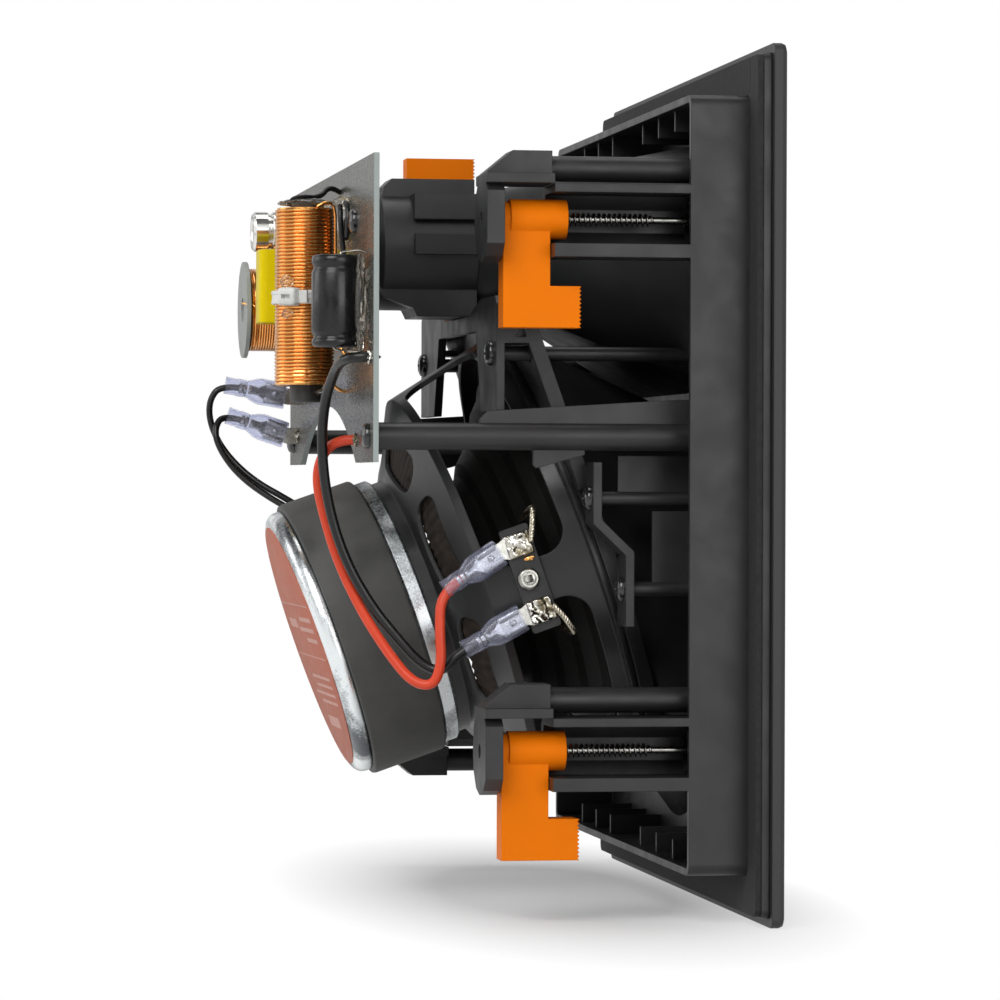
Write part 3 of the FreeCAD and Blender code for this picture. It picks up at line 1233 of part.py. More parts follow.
HORN_STATIONS = [
    ("throat", S.housingfront, S.throatradius * 2, S.throatradius * 2, S.tweeterz, S.throatradius - 0.5),
    ("neck", S.neckdepth, S.neckwide, S.neckhigh, S.tweeterz - 0.5, S.neckround),
    ("flare", S.flaredepth, S.flarewide, S.flarehigh, S.tweeterz - 4.0, S.flareround),
    ("mouth", -FLANGE_REAR, S.mouthwide, S.mouthhigh, S.mouthz, S.mouthround),
]


def build_horn():
    body = new_body("tweeter_horn")
    outer, inner = [], []
    for name, depth, wide, high, level, corner in HORN_STATIONS:
        outer.append(new_sketch(body, f"horn_{name}_outside", "YZ_Plane", offset=-depth,
                                rounded=[((0, level), wide + S.hornwall * 2, high + S.hornwall * 2, corner + S.hornwall)]))
    loft(body, "horn_outside", outer)
    across, up, rear = UPPER_EAR
    spots = [(side * across, up) for side in (-1, 1)]
    pad(body, "horn_posts",
        new_sketch(body, "horn_post_outlines", "YZ_Plane", offset=-rear + S.earthick,
                   circles=[(spot, EAR_POST) for spot in spots]), rear - S.earthick - 6)
    for name, depth, wide, high, level, corner in HORN_STATIONS:
        inner.append(new_sketch(body, f"horn_{name}_inside", "YZ_Plane", offset=-depth,
                                rounded=[((0, level), wide, high, corner)]))
    loft(body, "horn_inside", inner, cut=True)
    pocket(body, "horn_pilots",
           new_sketch(body, "horn_pilot_outlines", "YZ_Plane", offset=-rear + S.earthick - 1,
                      circles=[(spot, EAR_SCREW + S.fitclear) for spot in spots]), PILOT_DEEP + 1, reverse=True)
    return body


def build_dome():
    body = new_body("tweeter_dome")
    plate = [(-S.housingfront, 0), (-S.housingfront, S.throatradius - 0.6), (-S.housingfront + 1.4, S.throatradius - 0.6),
             (-S.housingfront + 1.4, 12.6), (-S.housingfront + 0.6, 12.6), (-S.housingfront + 0.6, 0)]
    revolve(body, "dome_plate", new_sketch(body, "dome_plate_profile", "XY_Plane", polygons=[plate]))
    sketch = new_sketch(body, "dome_profile", "XY_Plane")
    draw_dome(sketch, -S.housingfront + 0.5, 12.7, 4.5, 0.7)
    revolve(body, "dome_shell", sketch)
    body.Placement = Placement(Vector(0, 0, S.tweeterz.value), Rotation())
    body.setExpression("Placement.Base.z", S.tweeterz.text)
    return body


keep(build_housing())
keep(build_horn())
keep(build_dome())


# Crossover board and what stands on it

THIRD_SCREW = (Dim.of(-76.0), Dim.of(92.0))


def build_board():
    body = new_body("crossover_board")
    outline = rectangle((-S.boardhalf, S.boardlow), (S.boardhalf, S.boardhigh))
    pad(body, "board_sheet", new_sketch(body, "board_outline", "YZ_Plane", polygons=[outline], offset=-S.boardrear),
        S.boardthick)
    rise = S.archtop - S.boardlow
    bow = (S.archhalf * S.archhalf + rise * rise) / (rise * 2)
    pocket(body, "board_arch",
           new_sketch(body, "board_arch_outline", "YZ_Plane", circles=[((S.archacross, S.archtop - bow), bow)],
                      offset=-S.boardrear - 1), S.boardthick + 2, reverse=True)
    spots = [(-S.postacross, S.postup), (S.postacross, S.postup), THIRD_SCREW]
    pocket(body, "board_holes",
           new_sketch(body, "board_hole_outlines", "YZ_Plane", offset=-S.boardrear - 1,
                      circles=[(spot, BOARD_SCREW + S.fitclear) for spot in spots]), S.boardthick + 2, reverse=True)
    return body


keep(build_board())
board_fixings = [
    pan_screw("near_board_screw", -S.boardrear, -S.postacross, S.postup, Dim.of(11.0), BOARD_SCREW),
    pan_screw("far_board_screw", -S.boardrear, S.postacross, S.postup, Dim.of(11.0), BOARD_SCREW),
    pan_screw("top_board_screw", -S.boardrear, *THIRD_SCREW, Dim.of(6.0), BOARD_SCREW),
]
group("board_screws", board_fixings)

COIL_RADIUS = Dim.of(11.7)
TIE_THICK = Dim.of(1.0)
COIL_CORE = Dim.of(6.0)
COIL_X = -(S.boardrear + TIE_THICK + S.fitclear * 2 + COIL_RADIUS)
COIL_Y = Dim.of(-42.0)
COIL_LOW = Dim.of(34.7)
COIL_HIGH = Dim.of(98.9)


def upright(label, profile, x, y):
    """A piece turned about an upright axis from (radius, height) points."""
    body = new_body(label)
    sketch = new_sketch(body, f"{label}_profile", "XZ_Plane", polygons=[profile])
    revolve(body, f"{label}_turned", sketch, "V_Axis")
    x, y = Dim.of(x), Dim.of(y)
    body.Placement = Placement(Vector(x.value, y.value, 0), Rotation())
    body.setExpression("Placement.Base.x", x.text)
    body.setExpression("Placement.Base.y", y.text)
    return keep(body)


upright("main_coil_core", [(0, COIL_LOW - 5.4), (COIL_CORE - 0.8, COIL_LOW - 5.4), (COIL_CORE, COIL_LOW - 4.6),
                           (COIL_CORE, COIL_HIGH + 2), (0, COIL_HIGH + 2)], COIL_X, COIL_Y)
upright("main_coil_winding", [(COIL_CORE + 0.1, COIL_LOW), (COIL_RADIUS - 0.6, COIL_LOW), (COIL_RADIUS, COIL_LOW + 0.6),
                              (COIL_RADIUS, COIL_HIGH - 0.6), (COIL_RADIUS - 0.6, COIL_HIGH), (COIL_CORE + 0.1, COIL_HIGH)],
        COIL_X, COIL_Y)


def build_tie():
    body = new_body("cable_tie")
    inner = COIL_RADIUS + S.fitclear
    level = Dim.of(64.0)
    wide = Dim.of(4.8)
    band = new_sketch(body, "tie_outline", "XY_Plane", offset=level, circles=[((0, 0), inner), ((0, 0), inner + TIE_THICK)])
    pad(body, "tie_band", band, wide)
    head = rectangle((-7.5, -inner - TIE_THICK - 2.6), (-1.5, -inner + 0.2))
    pad(body, "tie_head", new_sketch(body, "tie_head_outline", "XY_Plane", polygons=[head], offset=level - 0.6), wide + 1.2)
    pocket(body, "tie_clear", new_sketch(body, "tie_clear_outline", "XY_Plane", circles=[((0, 0), inner)], offset=level - 2),
           wide + 4, reverse=True)
    body.Placement = Placement(Vector(COIL_X.value, COIL_Y.value, 0), Rotation())
    body.setExpression("Placement.Base.x", COIL_X.text)
    body.setExpression("Placement.Base.y", COIL_Y.text)
    return keep(body)


build_tie()

CAN_RADIUS = Dim.of(8.4)
upright("electrolytic_capacitor", [
    (0, 47), (CAN_RADIUS - 1.2, 47), (CAN_RADIUS, 48.2), (CAN_RADIUS, 50.2), (CAN_RADIUS - 0.9, 51.2),
    (CAN_RADIUS - 0.9, 52.0), (CAN_RADIUS, 53.0), (CAN_RADIUS, 77.6), (CAN_RADIUS - 1.1, 78.7), (CAN_RADIUS - 2, 78.7),
    (CAN_RADIUS - 2, 78.3), (0, 78.3)], -(S.boardrear + CAN_RADIUS + S.fitclear), -105.0)


def along_x(label, profile, y, z):
    body = turned(label, profile)
    y, z = Dim.of(y), Dim.of(z)
    body.Placement = Placement(Vector(0, y.value, z.value), Rotation())
    body.setExpression("Placement.Base.y", y.text)
    body.setExpression("Placement.Base.z", z.text)
    return keep(body)


STAND = -S.boardrear
SMALL_CAN = Dim.of(7.5)
along_x("can_capacitor", [
    (STAND, 0), (STAND, SMALL_CAN - 1), (STAND - 1, SMALL_CAN), (STAND - 3, SMALL_CAN), (STAND - 4, SMALL_CAN - 1),
    (STAND - 5, SMALL_CAN), (STAND - 16.5, SMALL_CAN), (STAND - 17.6, SMALL_CAN - 1.1), (STAND - 18.7, SMALL_CAN),
    (STAND - 23.2, SMALL_CAN), (STAND - 24.2, SMALL_CAN - 1), (STAND - 24.2, SMALL_CAN - 2.2), (STAND - 23.8, SMALL_CAN - 2.6),
    (STAND - 23.8, 0)], 40.0, 94.3)

BOBBIN_CORE = Dim.of(8.0)
BOBBIN_SPOT = (Dim.of(45.0), Dim.of(65.3))
along_x("second_coil_bobbin", [
    (STAND, 4.5), (STAND, 16.6), (STAND - 1.6, 16.6), (STAND - 1.6, BOBBIN_CORE), (STAND - 25.7, BOBBIN_CORE),
    (STAND - 25.7, 18.0), (STAND - 27.2, 18.0), (STAND - 27.2, 4.5)], *BOBBIN_SPOT)
along_x("second_coil_winding", [
    (STAND - 1.8, BOBBIN_CORE + 0.1), (STAND - 1.8, 15.0), (STAND - 2.4, 15.5), (STAND - 24.9, 15.5), (STAND - 25.5, 15.0),
    (STAND - 25.5, BOBBIN_CORE + 0.1)], *BOBBIN_SPOT)


def build_film():
    body = new_body("film_capacitor")
    outline = new_sketch(body, "film_outline", "YZ_Plane", rounded=[((10, 73), 15, 28, 2.5)], offset=STAND - 21.5)
    pad(body, "film_block", outline, 21.5)
    return keep(body)


build_film()


def build_board_tab(label, place):
    """A tab that stands off the board and bends up into its receptacle."""
    body = new_body(label)
    root, across, level, angle = place
    slope = sine(angle) / cosine(angle)
    half = S.tabwide / 2
    long = Dim.of(7.5)
    outline = [
        (STAND, level - half), (STAND, level + half), (root, level + half), (root - long, level + half + slope * long),
        (root - long, level - half + slope * long), (root, level - half)]
    pad(body, f"{label}_plate",
        new_sketch(body, f"{label}_outline", "XZ_Plane", polygons=[outline], offset=-across - S.tabthick / 2), S.tabthick)
    return body


group("input_tabs", [build_board_tab(f"{name}_tab", RECEPTACLES[name]) for name in ("input_1", "input_2")])


def build_input_terminal():
    body = new_body("input_terminal")
    block = new_sketch(body, "terminal_outline", "YZ_Plane", offset=-22,
                       rounded=[((S.wallside / 2 - 24.4, -63.5), 20, 18, 2)])
    pad(body, "terminal_block", block, FLANGE_REAR + 22)
    return keep(body)


build_input_terminal()


# Check every object, then write each piece

doc.recompute()
faults = [f"{item.Label}: {item.State}" for item in doc.Objects
          if any(word in item.State for word in ("Invalid", "Error"))]
for item in NODES:
    if item.Shape.isNull() or not item.Shape.isValid():
        faults.append(f"{item.Label}: shape not valid")
if faults:
    raise SystemExit("\n".join(faults))

os.makedirs("parts", exist_ok=True)
triangles = 0
for item in NODES:
    triangles += len(item.Shape.tessellate(0.3)[1])
    item.Shape.exportStep(f"parts/{item.Label}.step")
print(f"{len(NODES)} pieces, about {triangles} triangles")
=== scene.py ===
"""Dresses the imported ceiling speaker: finishes, windings, threads, leads, studio and camera.

Everything stands in the frame of the solids: +X out of the front, +Z up, Y across. The sub-assemblies are given in
millimetres, and their meshes are built in metres. Finishes and the studio are in metres.
"""

import json
import logging
import math
from dataclasses import dataclass
from enum import Enum
from functools import cached_property
from typing import Iterator, Optional, Sequence, Union

import bmesh
import bpy
from mathutils import Matrix, Vector, noise

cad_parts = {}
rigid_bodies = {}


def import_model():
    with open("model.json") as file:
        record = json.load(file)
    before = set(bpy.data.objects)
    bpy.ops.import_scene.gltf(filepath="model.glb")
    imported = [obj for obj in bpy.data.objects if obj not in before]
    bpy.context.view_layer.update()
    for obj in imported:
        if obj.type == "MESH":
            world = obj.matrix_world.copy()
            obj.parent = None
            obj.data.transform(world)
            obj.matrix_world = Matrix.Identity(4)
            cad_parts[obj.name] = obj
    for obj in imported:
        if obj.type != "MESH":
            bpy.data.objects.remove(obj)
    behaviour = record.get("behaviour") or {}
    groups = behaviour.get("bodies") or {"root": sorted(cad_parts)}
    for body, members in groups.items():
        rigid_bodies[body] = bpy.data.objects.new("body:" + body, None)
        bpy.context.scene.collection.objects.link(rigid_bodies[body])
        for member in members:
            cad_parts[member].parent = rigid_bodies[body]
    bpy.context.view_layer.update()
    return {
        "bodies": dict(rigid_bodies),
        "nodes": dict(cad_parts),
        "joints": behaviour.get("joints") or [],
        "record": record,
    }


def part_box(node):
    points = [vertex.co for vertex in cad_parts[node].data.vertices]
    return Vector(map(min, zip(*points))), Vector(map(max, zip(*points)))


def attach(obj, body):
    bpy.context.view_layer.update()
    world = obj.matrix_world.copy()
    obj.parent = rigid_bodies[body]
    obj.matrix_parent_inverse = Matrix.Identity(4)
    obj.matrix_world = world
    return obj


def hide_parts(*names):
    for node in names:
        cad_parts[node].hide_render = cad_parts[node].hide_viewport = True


Mesh = bmesh.types.BMesh
Socket = bpy.types.NodeSocket
Pair = tuple[float, float]
Point = tuple[float, float, float]
Points = Sequence[Point]
Table = Sequence[tuple[float, ...]]
Number = Union[float, "Value"]

LOG = logging.getLogger("ceiling_speaker")
MM = 0.001
AHEAD = Vector((1, 0, 0))
UP = Vector((0, 0, 1))
WELD = 1e-7
SHARP = math.radians(38)
# Where most of a noise's values lie
SPAN = (0.3, 0.7)
# The two noises of a lump: scale, share, and the way in which a seed moves it
LUMPS = ((1.6, 1.0, Vector((1, 2.3, -1))), (4.1, 0.4, Vector((-1, 1, 1.7))))


class Noise(Enum):
    """The kinds of scatter that the finishes are made from."""

    GRAIN = "ShaderNodeTexNoise"
    CELLS = "ShaderNodeTexVoronoi"


class Value:
    """A number in a shader tree that can be used in plain arithmetic."""

    def __init__(self, shader: "Shader", socket: Socket) -> None:
        """Wraps a socket.

        Args:
            shader: the tree that the socket belongs to.
            socket: the output to wrap.
        """
        self.shader = shader
        self.socket = socket

    def math(self, operation: str, other: Number = 0.0, swap: bool = False) -> "Value":
        """Adds one Math node.

        Args:
            operation: the node's operation.
            other: the second operand.
            swap: whether the other operand comes first.

        Returns:
            The node's result.
        """
        first, second = (other, self) if swap else (self, other)
        return self.shader.value("ShaderNodeMath", {"operation": operation}, {0: first, 1: second})

    def __add__(self, other: Number) -> "Value":
        """Sum."""
        return self.math("ADD", other)

    __radd__ = __add__

    def __sub__(self, other: Number) -> "Value":
        """Difference."""
        return self.math("SUBTRACT", other)

    def __rsub__(self, other: Number) -> "Value":
        """Difference with the operands swapped."""
        return self.math("SUBTRACT", other, swap=True)

    def __mul__(self, other: Number) -> "Value":
        """Product."""
        return self.math("MULTIPLY", other)

    __rmul__ = __mul__

    def __gt__(self, other: Number) -> "Value":
        """One where this is greater than the other, else zero."""
        return self.math("GREATER_THAN", other)


class Shader:
    """Builds the node tree of one material, or of the world."""

    def __init__(self, name: str, world: bool = False) -> None:
        """Starts an empty tree.

        Args:
            name: the name of the material or world.
            world: whether it is a world.
        """
        self.owner = (bpy.data.worlds if world else bpy.data.materials).new(name)
        self.owner.use_nodes = True
        self.tree = self.owner.node_tree
        self.tree.nodes.clear()

    @cached_property
    def coords(self) -> Socket:
        """The object's own coordinates."""
        return self.node("ShaderNodeTexCoord", {}, {}).outputs["Object"]

    def node(self, kind: str, settings: dict, inputs: dict) -> bpy.types.Node:
        """Adds a node, sets it up and fills its sockets.

        Args:
            kind: the node's type.
            settings: attributes to set before any socket; "stops" sets a ramp's colours.
            inputs: socket names or numbers, with a value, a colour, a socket or a Value for each.

        Returns:
            The new node.
        """
        made = self.tree.nodes.new(kind)
        for name, setting in settings.items():
            if name == "stops":
                for element, (place, colour) in zip(made.color_ramp.elements, setting):
                    element.position = place
                    element.color = (*colour, 1.0)
            else:
                setattr(made, name, setting)
        for key, given in inputs.items():
            socket = made.inputs[key]
            if isinstance(given, Value):
                given = given.socket
            if isinstance(given, Socket):
                self.tree.links.new(given, socket)
            elif isinstance(given, tuple) and len(given) == 3 and socket.type == "RGBA":
                socket.default_value = (*given, 1.0)
            else:
                socket.default_value = given
        return made

    def value(self, kind: str, settings: dict, inputs: dict, port: Union[int, str] = 0) -> Value:
        """One output of a new node, as a value."""
        return Value(self, self.node(kind, settings, inputs).outputs[port])

    def scatter(self, kind: Noise, scale: float, stretch: Point = (1, 1, 1), **inputs: float) -> Value:
        """A noise over the object's own coordinates.

        Args:
            kind: which noise.
            scale: repeats a metre.
            stretch: how the coordinates are scaled along X, Y and Z first.
            **inputs: further sockets of the noise, with underscores for spaces.

        Returns:
            The noise's value.
        """
        mapped = self.node("ShaderNodeMapping", {}, {"Vector": self.coords, "Scale": stretch})
        named = {key.replace("_", " "): amount for key, amount in inputs.items()}
        port = "Distance" if kind is Noise.CELLS else "Fac"
        return self.value(kind.value, {}, {"Vector": mapped.outputs[0], "Scale": scale, **named}, port)

    def split(self) -> tuple[Value, Value, Value]:
        """The object's coordinates as three values."""
        made = self.node("ShaderNodeSeparateXYZ", {}, {0: self.coords})
        return tuple(Value(self, made.outputs[number]) for number in range(3))

    def tinted(self, value: Value, colour: Point, vary: float) -> Socket:
        """Colours a noise from a little darker to a little lighter than one colour."""
        stops = [(place, scaled(colour, share)) for place, share in zip(SPAN, (1 - vary, 1 + vary))]
        return self.node("ShaderNodeValToRGB", {"stops": stops}, {0: value}).outputs[0]

    def level(self, value: Value, low: float, high: float, start: float = SPAN[0], end: float = SPAN[1]) -> Value:
        """Maps a value from start..end to low..high, held at both ends."""
        return self.value("ShaderNodeMapRange", {}, {0: value, 1: start, 2: end, 3: low, 4: high})

    def blend(self, factor: Value, first: object, second: object) -> Socket:
        """Mixes two colours by a value."""
        return self.node("ShaderNodeMix", {"data_type": "RGBA"}, {"Factor": factor, 6: first, 7: second}).outputs[2]

    def relief(self, height: Value, depth: float, strength: float, edge: float = 0.0,
               under: Optional[Socket] = None) -> Socket:
        """A bumped normal.

        Args:
            height: the relief, from zero to one.
            depth: its height in metres.
            strength: how much of it shows.
            edge: the radius by which sharp edges are softened.
            under: a normal that the bump is laid on, where no edge is given.

        Returns:
            The normal socket.
        """
        if edge:
            under = self.node("ShaderNodeBevel", {"samples": 4}, {"Radius": edge}).outputs[0]
        inputs = {"Height": height, "Distance": depth, "Strength": strength}
        if under is not None:
            inputs["Normal"] = under
        return self.node("ShaderNodeBump", {}, inputs).outputs[0]

    def finish(self, **inputs: object) -> bpy.types.Material:
        """Adds the surface and the output.

        Args:
            **inputs: sockets of the Principled shader, with underscores for spaces.

        Returns:
            The finished material.
        """
        named = {key.replace("_", " "): given for key, given in inputs.items()}
        surface = self.node("ShaderNodeBsdfPrincipled", {}, named)
        self.node("ShaderNodeOutputMaterial", {}, {"Surface": surface.outputs[0]})
        return self.owner


def scaled(colour: Point, share: float) -> Point:
    """A colour made darker or lighter."""
    return tuple(part * share for part in colour)


@dataclass(frozen=True)
class Moulded:
    """Moulded plastic with a fine spark-eroded grain and soft edges."""

    name: str
    colour: Point
    rough: float = 0.42
    smoother: float = 0.07
    rougher: float = 0.09
    grain: float = 2600.0
    cloud: float = 38.0
    patch: float = 90.0
    depth: float = 0.00003
    edge: float = 0.0005
    tone: float = 0.486
    mottle: float = 0.486
    darkest: float = 0.8
    lightest: float = 1.25
    gloss: float = 0.42

    def make(self) -> bpy.types.Material:
        """Builds the material.

        Returns:
            The finished material.
        """
        shader = Shader(self.name)
        broad = shader.scatter(Noise.GRAIN, self.cloud, Detail=4.0)
        tone = shader.level(broad, self.tone - self.mottle, self.tone + self.mottle)
        colour = shader.blend(tone, scaled(self.colour, self.darkest), scaled(self.colour, self.lightest))
        patches = shader.scatter(Noise.GRAIN, self.patch, Detail=5.0)
        rough = shader.level(patches, self.rough - self.smoother, self.rough + self.rougher)
        fine = shader.scatter(Noise.GRAIN, self.grain, Detail=3.0)
        normal = shader.relief(fine, self.depth, 0.6, self.edge)
        return shader.finish(Base_Color=colour, Roughness=rough, Normal=normal, Specular_IOR_Level=self.gloss)


@dataclass(frozen=True)
class Plated:
    """Bright zinc plate with a fine speckle, broad streaks and duller patches; the broad dark and light streaks in its
    colour are painted reflection.
    """

    name: str
    colour: Point = (0.84, 0.88, 0.89)
    # The dark colour of the zinc's spangle speckle, and of the painted reflection streaks
    dark_spangle_and_reflection: Point = (0.13, 0.14, 0.15)
    rough: float = 0.26
    smoother: float = 0.08
    rougher: float = 0.2
    rough_span: Pair = (0.3, 0.75)
    speckle: float = 1300.0
    cloud: float = 160.0
    painted_reflection_streak: float = 26.0
    painted_reflection_streak_span: Pair = (0.4, 0.6)
    shares: Point = (0.55, 0.15, 0.6)
    spangle_and_reflection_mask_span: Pair = (0.44, 0.9)
    depth: float = 0.00008
    edge: float = 0.0005

    def make(self) -> bpy.types.Material:
        """Builds the material.

        Returns:
            The finished material.
        """
        shader = Shader(self.name)
        fine = shader.scatter(Noise.GRAIN, self.speckle, Detail=2.0)
        cloud = shader.scatter(Noise.GRAIN, self.cloud, Detail=8.0, Roughness=0.65)
        # Broad streaks of painted reflection, mixed with the real spangle speckle and cloud into one colour mask
        broad = shader.scatter(Noise.GRAIN, self.painted_reflection_streak, Detail=4.0, Distortion=0.8)
        painted_reflection_streak = shader.level(broad, 0.0, 1.0, *self.painted_reflection_streak_span)
        of_fine, of_cloud, of_painted_reflection_streak = self.shares
        spangle_and_reflection_mask = shader.level(fine * of_fine + cloud * of_cloud + painted_reflection_streak * of_painted_reflection_streak, 0.0, 1.0, *self.spangle_and_reflection_mask_span)
        colour = shader.blend(spangle_and_reflection_mask, self.dark_spangle_and_reflection, self.colour)
        rough = shader.level(cloud, self.rough - self.smoother, self.rough + self.rougher, *self.rough_span)
        normal = shader.relief(cloud, self.depth, 0.5, self.edge)
        return shader.finish(Base_Color=colour, Roughness=rough, Metallic=1.0, Normal=normal)


@dataclass(frozen=True)
class Ferrite:
    """Sintered ferrite, dull and slightly pitted."""

    name: str
    colour: Point = (0.062, 0.062, 0.059)
    rough: Pair = (0.5, 0.68)
    vary: float = 0.35
    cloud: float = 70.0
    pits: float = 900.0
    depth: float = 0.00005
    edge: float = 0.0006

    def make(self) -> bpy.types.Material:
        """Builds the material.

        Returns:
            The finished material.
        """
        shader = Shader(self.name)
        cloud = shader.scatter(Noise.GRAIN, self.cloud, Detail=7.0)
        normal = shader.relief(shader.scatter(Noise.CELLS, self.pits), self.depth, 0.5, self.edge)
        return shader.finish(Base_Color=shader.tinted(cloud, self.colour, self.vary),
                             Roughness=shader.level(cloud, *self.rough), Normal=normal)


@dataclass(frozen=True)
class Plain:
    """A finish told by its colour, gloss and grain alone."""

    name: str
    colour: Point
    rough: float = 0.5
    uneven: float = 0.08
    metallic: float = 0.0
    grain: float = 700.0
    cloud: float = 0.2
    depth: float = 0.00004
    vary: float = 0.25
    coat: float = 0.0
    edge: float = 0.0002
    gloss: float = 0.5

    def make(self) -> bpy.types.Material:
        """Builds the material.

        Returns:
            The finished material.
        """
        shader = Shader(self.name)
        cloud = shader.scatter(Noise.GRAIN, self.grain * self.cloud, Detail=6.0)
        fine = shader.scatter(Noise.GRAIN, self.grain, Detail=3.0)
        rough = shader.level(fine, self.rough - self.uneven, self.rough + self.uneven)
        normal = shader.relief(fine, self.depth, 0.5, self.edge)
        return shader.finish(Base_Color=shader.tinted(cloud, self.colour, self.vary), Roughness=rough,
                             Metallic=self.metallic, Normal=normal, Coat_Weight=self.coat, Coat_Roughness=0.08,
                             Specular_IOR_Level=self.gloss)


@dataclass(frozen=True)
class Solder:
    """Lumpy bright solder with duller, yellower hollows."""

    name: str
    bright: Point = (0.62, 0.60, 0.54)
    dull: Point = (0.20, 0.17, 0.11)
    colour_span: Pair = (0.36, 0.56)
    rough: Pair = (0.34, 0.1)
    rough_span: Pair = (0.3, 0.6)
    cloud: float = 210.0
    depth: float = 0.0001

    def make(self) -> bpy.types.Material:
        """Builds the material.

        Returns:
            The finished material.
        """
        shader = Shader(self.name)
        cloud = shader.scatter(Noise.GRAIN, self.cloud, Detail=2.0, Distortion=0.4)
        colour = shader.blend(shader.level(cloud, 0.0, 1.0, *self.colour_span), self.dull, self.bright)
        rough = shader.level(cloud, *self.rough, *self.rough_span)
        return shader.finish(Base_Color=colour, Roughness=rough, Metallic=1.0,
                             Normal=shader.relief(cloud, self.depth, 0.4))


@dataclass(frozen=True)
class Laminate:
    """Lacquered grey circuit board with a paler sawn edge."""

    name: str
    face: Point = (0.075, 0.074, 0.065)
    edge: Point = (0.34, 0.385, 0.375)
    rear: float = -0.12829
    vary: float = 0.05
    rough: Pair = (0.2, 0.34)
    sawn_rough: float = 0.25
    cloud: float = 60.0
    weave: float = 1500.0
    stretch: Point = (1, 0.2, 1)
    depth: float = 0.00002
    corner: float = 0.0003

    def make(self) -> bpy.types.Material:
        """Builds the material.

        Returns:
            The finished material.
        """
        shader = Shader(self.name)
        cloud = shader.scatter(Noise.GRAIN, self.cloud, Detail=6.0)
        weave = shader.scatter(Noise.GRAIN, self.weave, self.stretch, Detail=2.0)
        sawn = shader.split()[0] > self.rear
        colour = shader.blend(sawn, shader.tinted(cloud, self.face, self.vary), self.edge)
        rough = shader.level(weave, *self.rough) + sawn * self.sawn_rough
        normal = shader.relief(weave, self.depth, 0.5, self.corner)
        return shader.finish(Base_Color=colour, Roughness=rough, Normal=normal, Specular_IOR_Level=0.4)


@dataclass(frozen=True)
class Clear:
    """Soft clear vinyl or glue, with a tint that deepens at its rim; the deeper rim colour is painted shade, set by the
    viewing angle.
    """

    name: str
    colour: Point = (0.82, 0.84, 0.95)
    # The darker tint painted at glancing angles: painted rim shade
    edge: Point = (0.48, 0.50, 0.76)
    rough: float = 0.08
    smoother: float = 0.05
    rougher: float = 0.1
    painted_rim_shade: float = 0.35
    index: float = 1.32
    clear: float = 0.9
    ripple: float = 260.0
    depth: float = 0.0002

    def make(self) -> bpy.types.Material:
        """Builds the material.

        Returns:
            The finished material.
        """
        shader = Shader(self.name)
        ripple = shader.scatter(Noise.GRAIN, self.ripple, Detail=3.0)
        rough = shader.level(ripple, self.rough - self.smoother, self.rough + self.rougher)
        # Painted rim shade: the colour turns to the darker edge tint as the surface turns away from the view
        painted_rim_shade = shader.value("ShaderNodeLayerWeight", {}, {"Blend": self.painted_rim_shade}, "Facing")
        return shader.finish(Base_Color=shader.blend(painted_rim_shade, self.colour, self.edge), Roughness=rough, IOR=self.index,
                             Normal=shader.relief(ripple, self.depth, 0.3), Transmission_Weight=self.clear)


@dataclass(frozen=True)
class Perforated:
    """Black sheet with close rows of small holes, with a plain border; the holes are painted near-black, a painted
    shade for the dark inside seen through them.
    """

    name: str
    pitch: float = 0.0024
    row: float = 0.866
    hole: float = 0.0008
    soft: float = 0.00006
    half: float = 0.1455
    face: float = 0.0085
    colour: Point = (0.02, 0.02, 0.0205)
    # Near-black painted into each hole: painted shade of the inside seen through it
    painted_hole_shade: Point = (0.002, 0.002, 0.002)
    rough: Pair = (0.5, 0.95)
    deep: float = 0.0005
    grain: float = 3000.0
    grain_depth: float = 0.00002
    edge: float = 0.0005

    def make(self) -> bpy.types.Material:
        """Builds the material.

        Returns:
            The finished material.
        """
        shader = Shader(self.name)
        along, across, up = shader.split()
        tall = self.pitch * self.row
        row = up * (1.0 / tall)
        odd = row.math("FLOOR").math("MODULO", 2.0).math("ABSOLUTE")
        place = across * (1.0 / self.pitch) + odd * 0.5
        spot_y = (place.math("FRACT") - 0.5) * self.pitch
        spot_z = (row.math("FRACT") - 0.5) * tall
        away = (spot_y * spot_y + spot_z * spot_z).math("SQRT")
        inside = (self.half - across.math("ABSOLUTE")).math("MINIMUM", self.half - up.math("ABSOLUTE")) > 0.0
        hole = shader.level(away, 1.0, 0.0, self.hole - self.soft, self.hole + self.soft) * inside * (along > self.face)
        fine = shader.scatter(Noise.GRAIN, self.grain, Detail=2.0)
        grain = shader.relief(fine, self.grain_depth, 0.5, self.edge)
        # The holes take the painted shade colour, more roughness and a dip
        return shader.finish(Base_Color=shader.blend(hole, self.colour, self.painted_hole_shade),
                             Roughness=shader.level(hole, *self.rough, 0.0, 1.0),
                             Normal=shader.relief(1.0 - hole, self.deep, 0.8, under=grain))


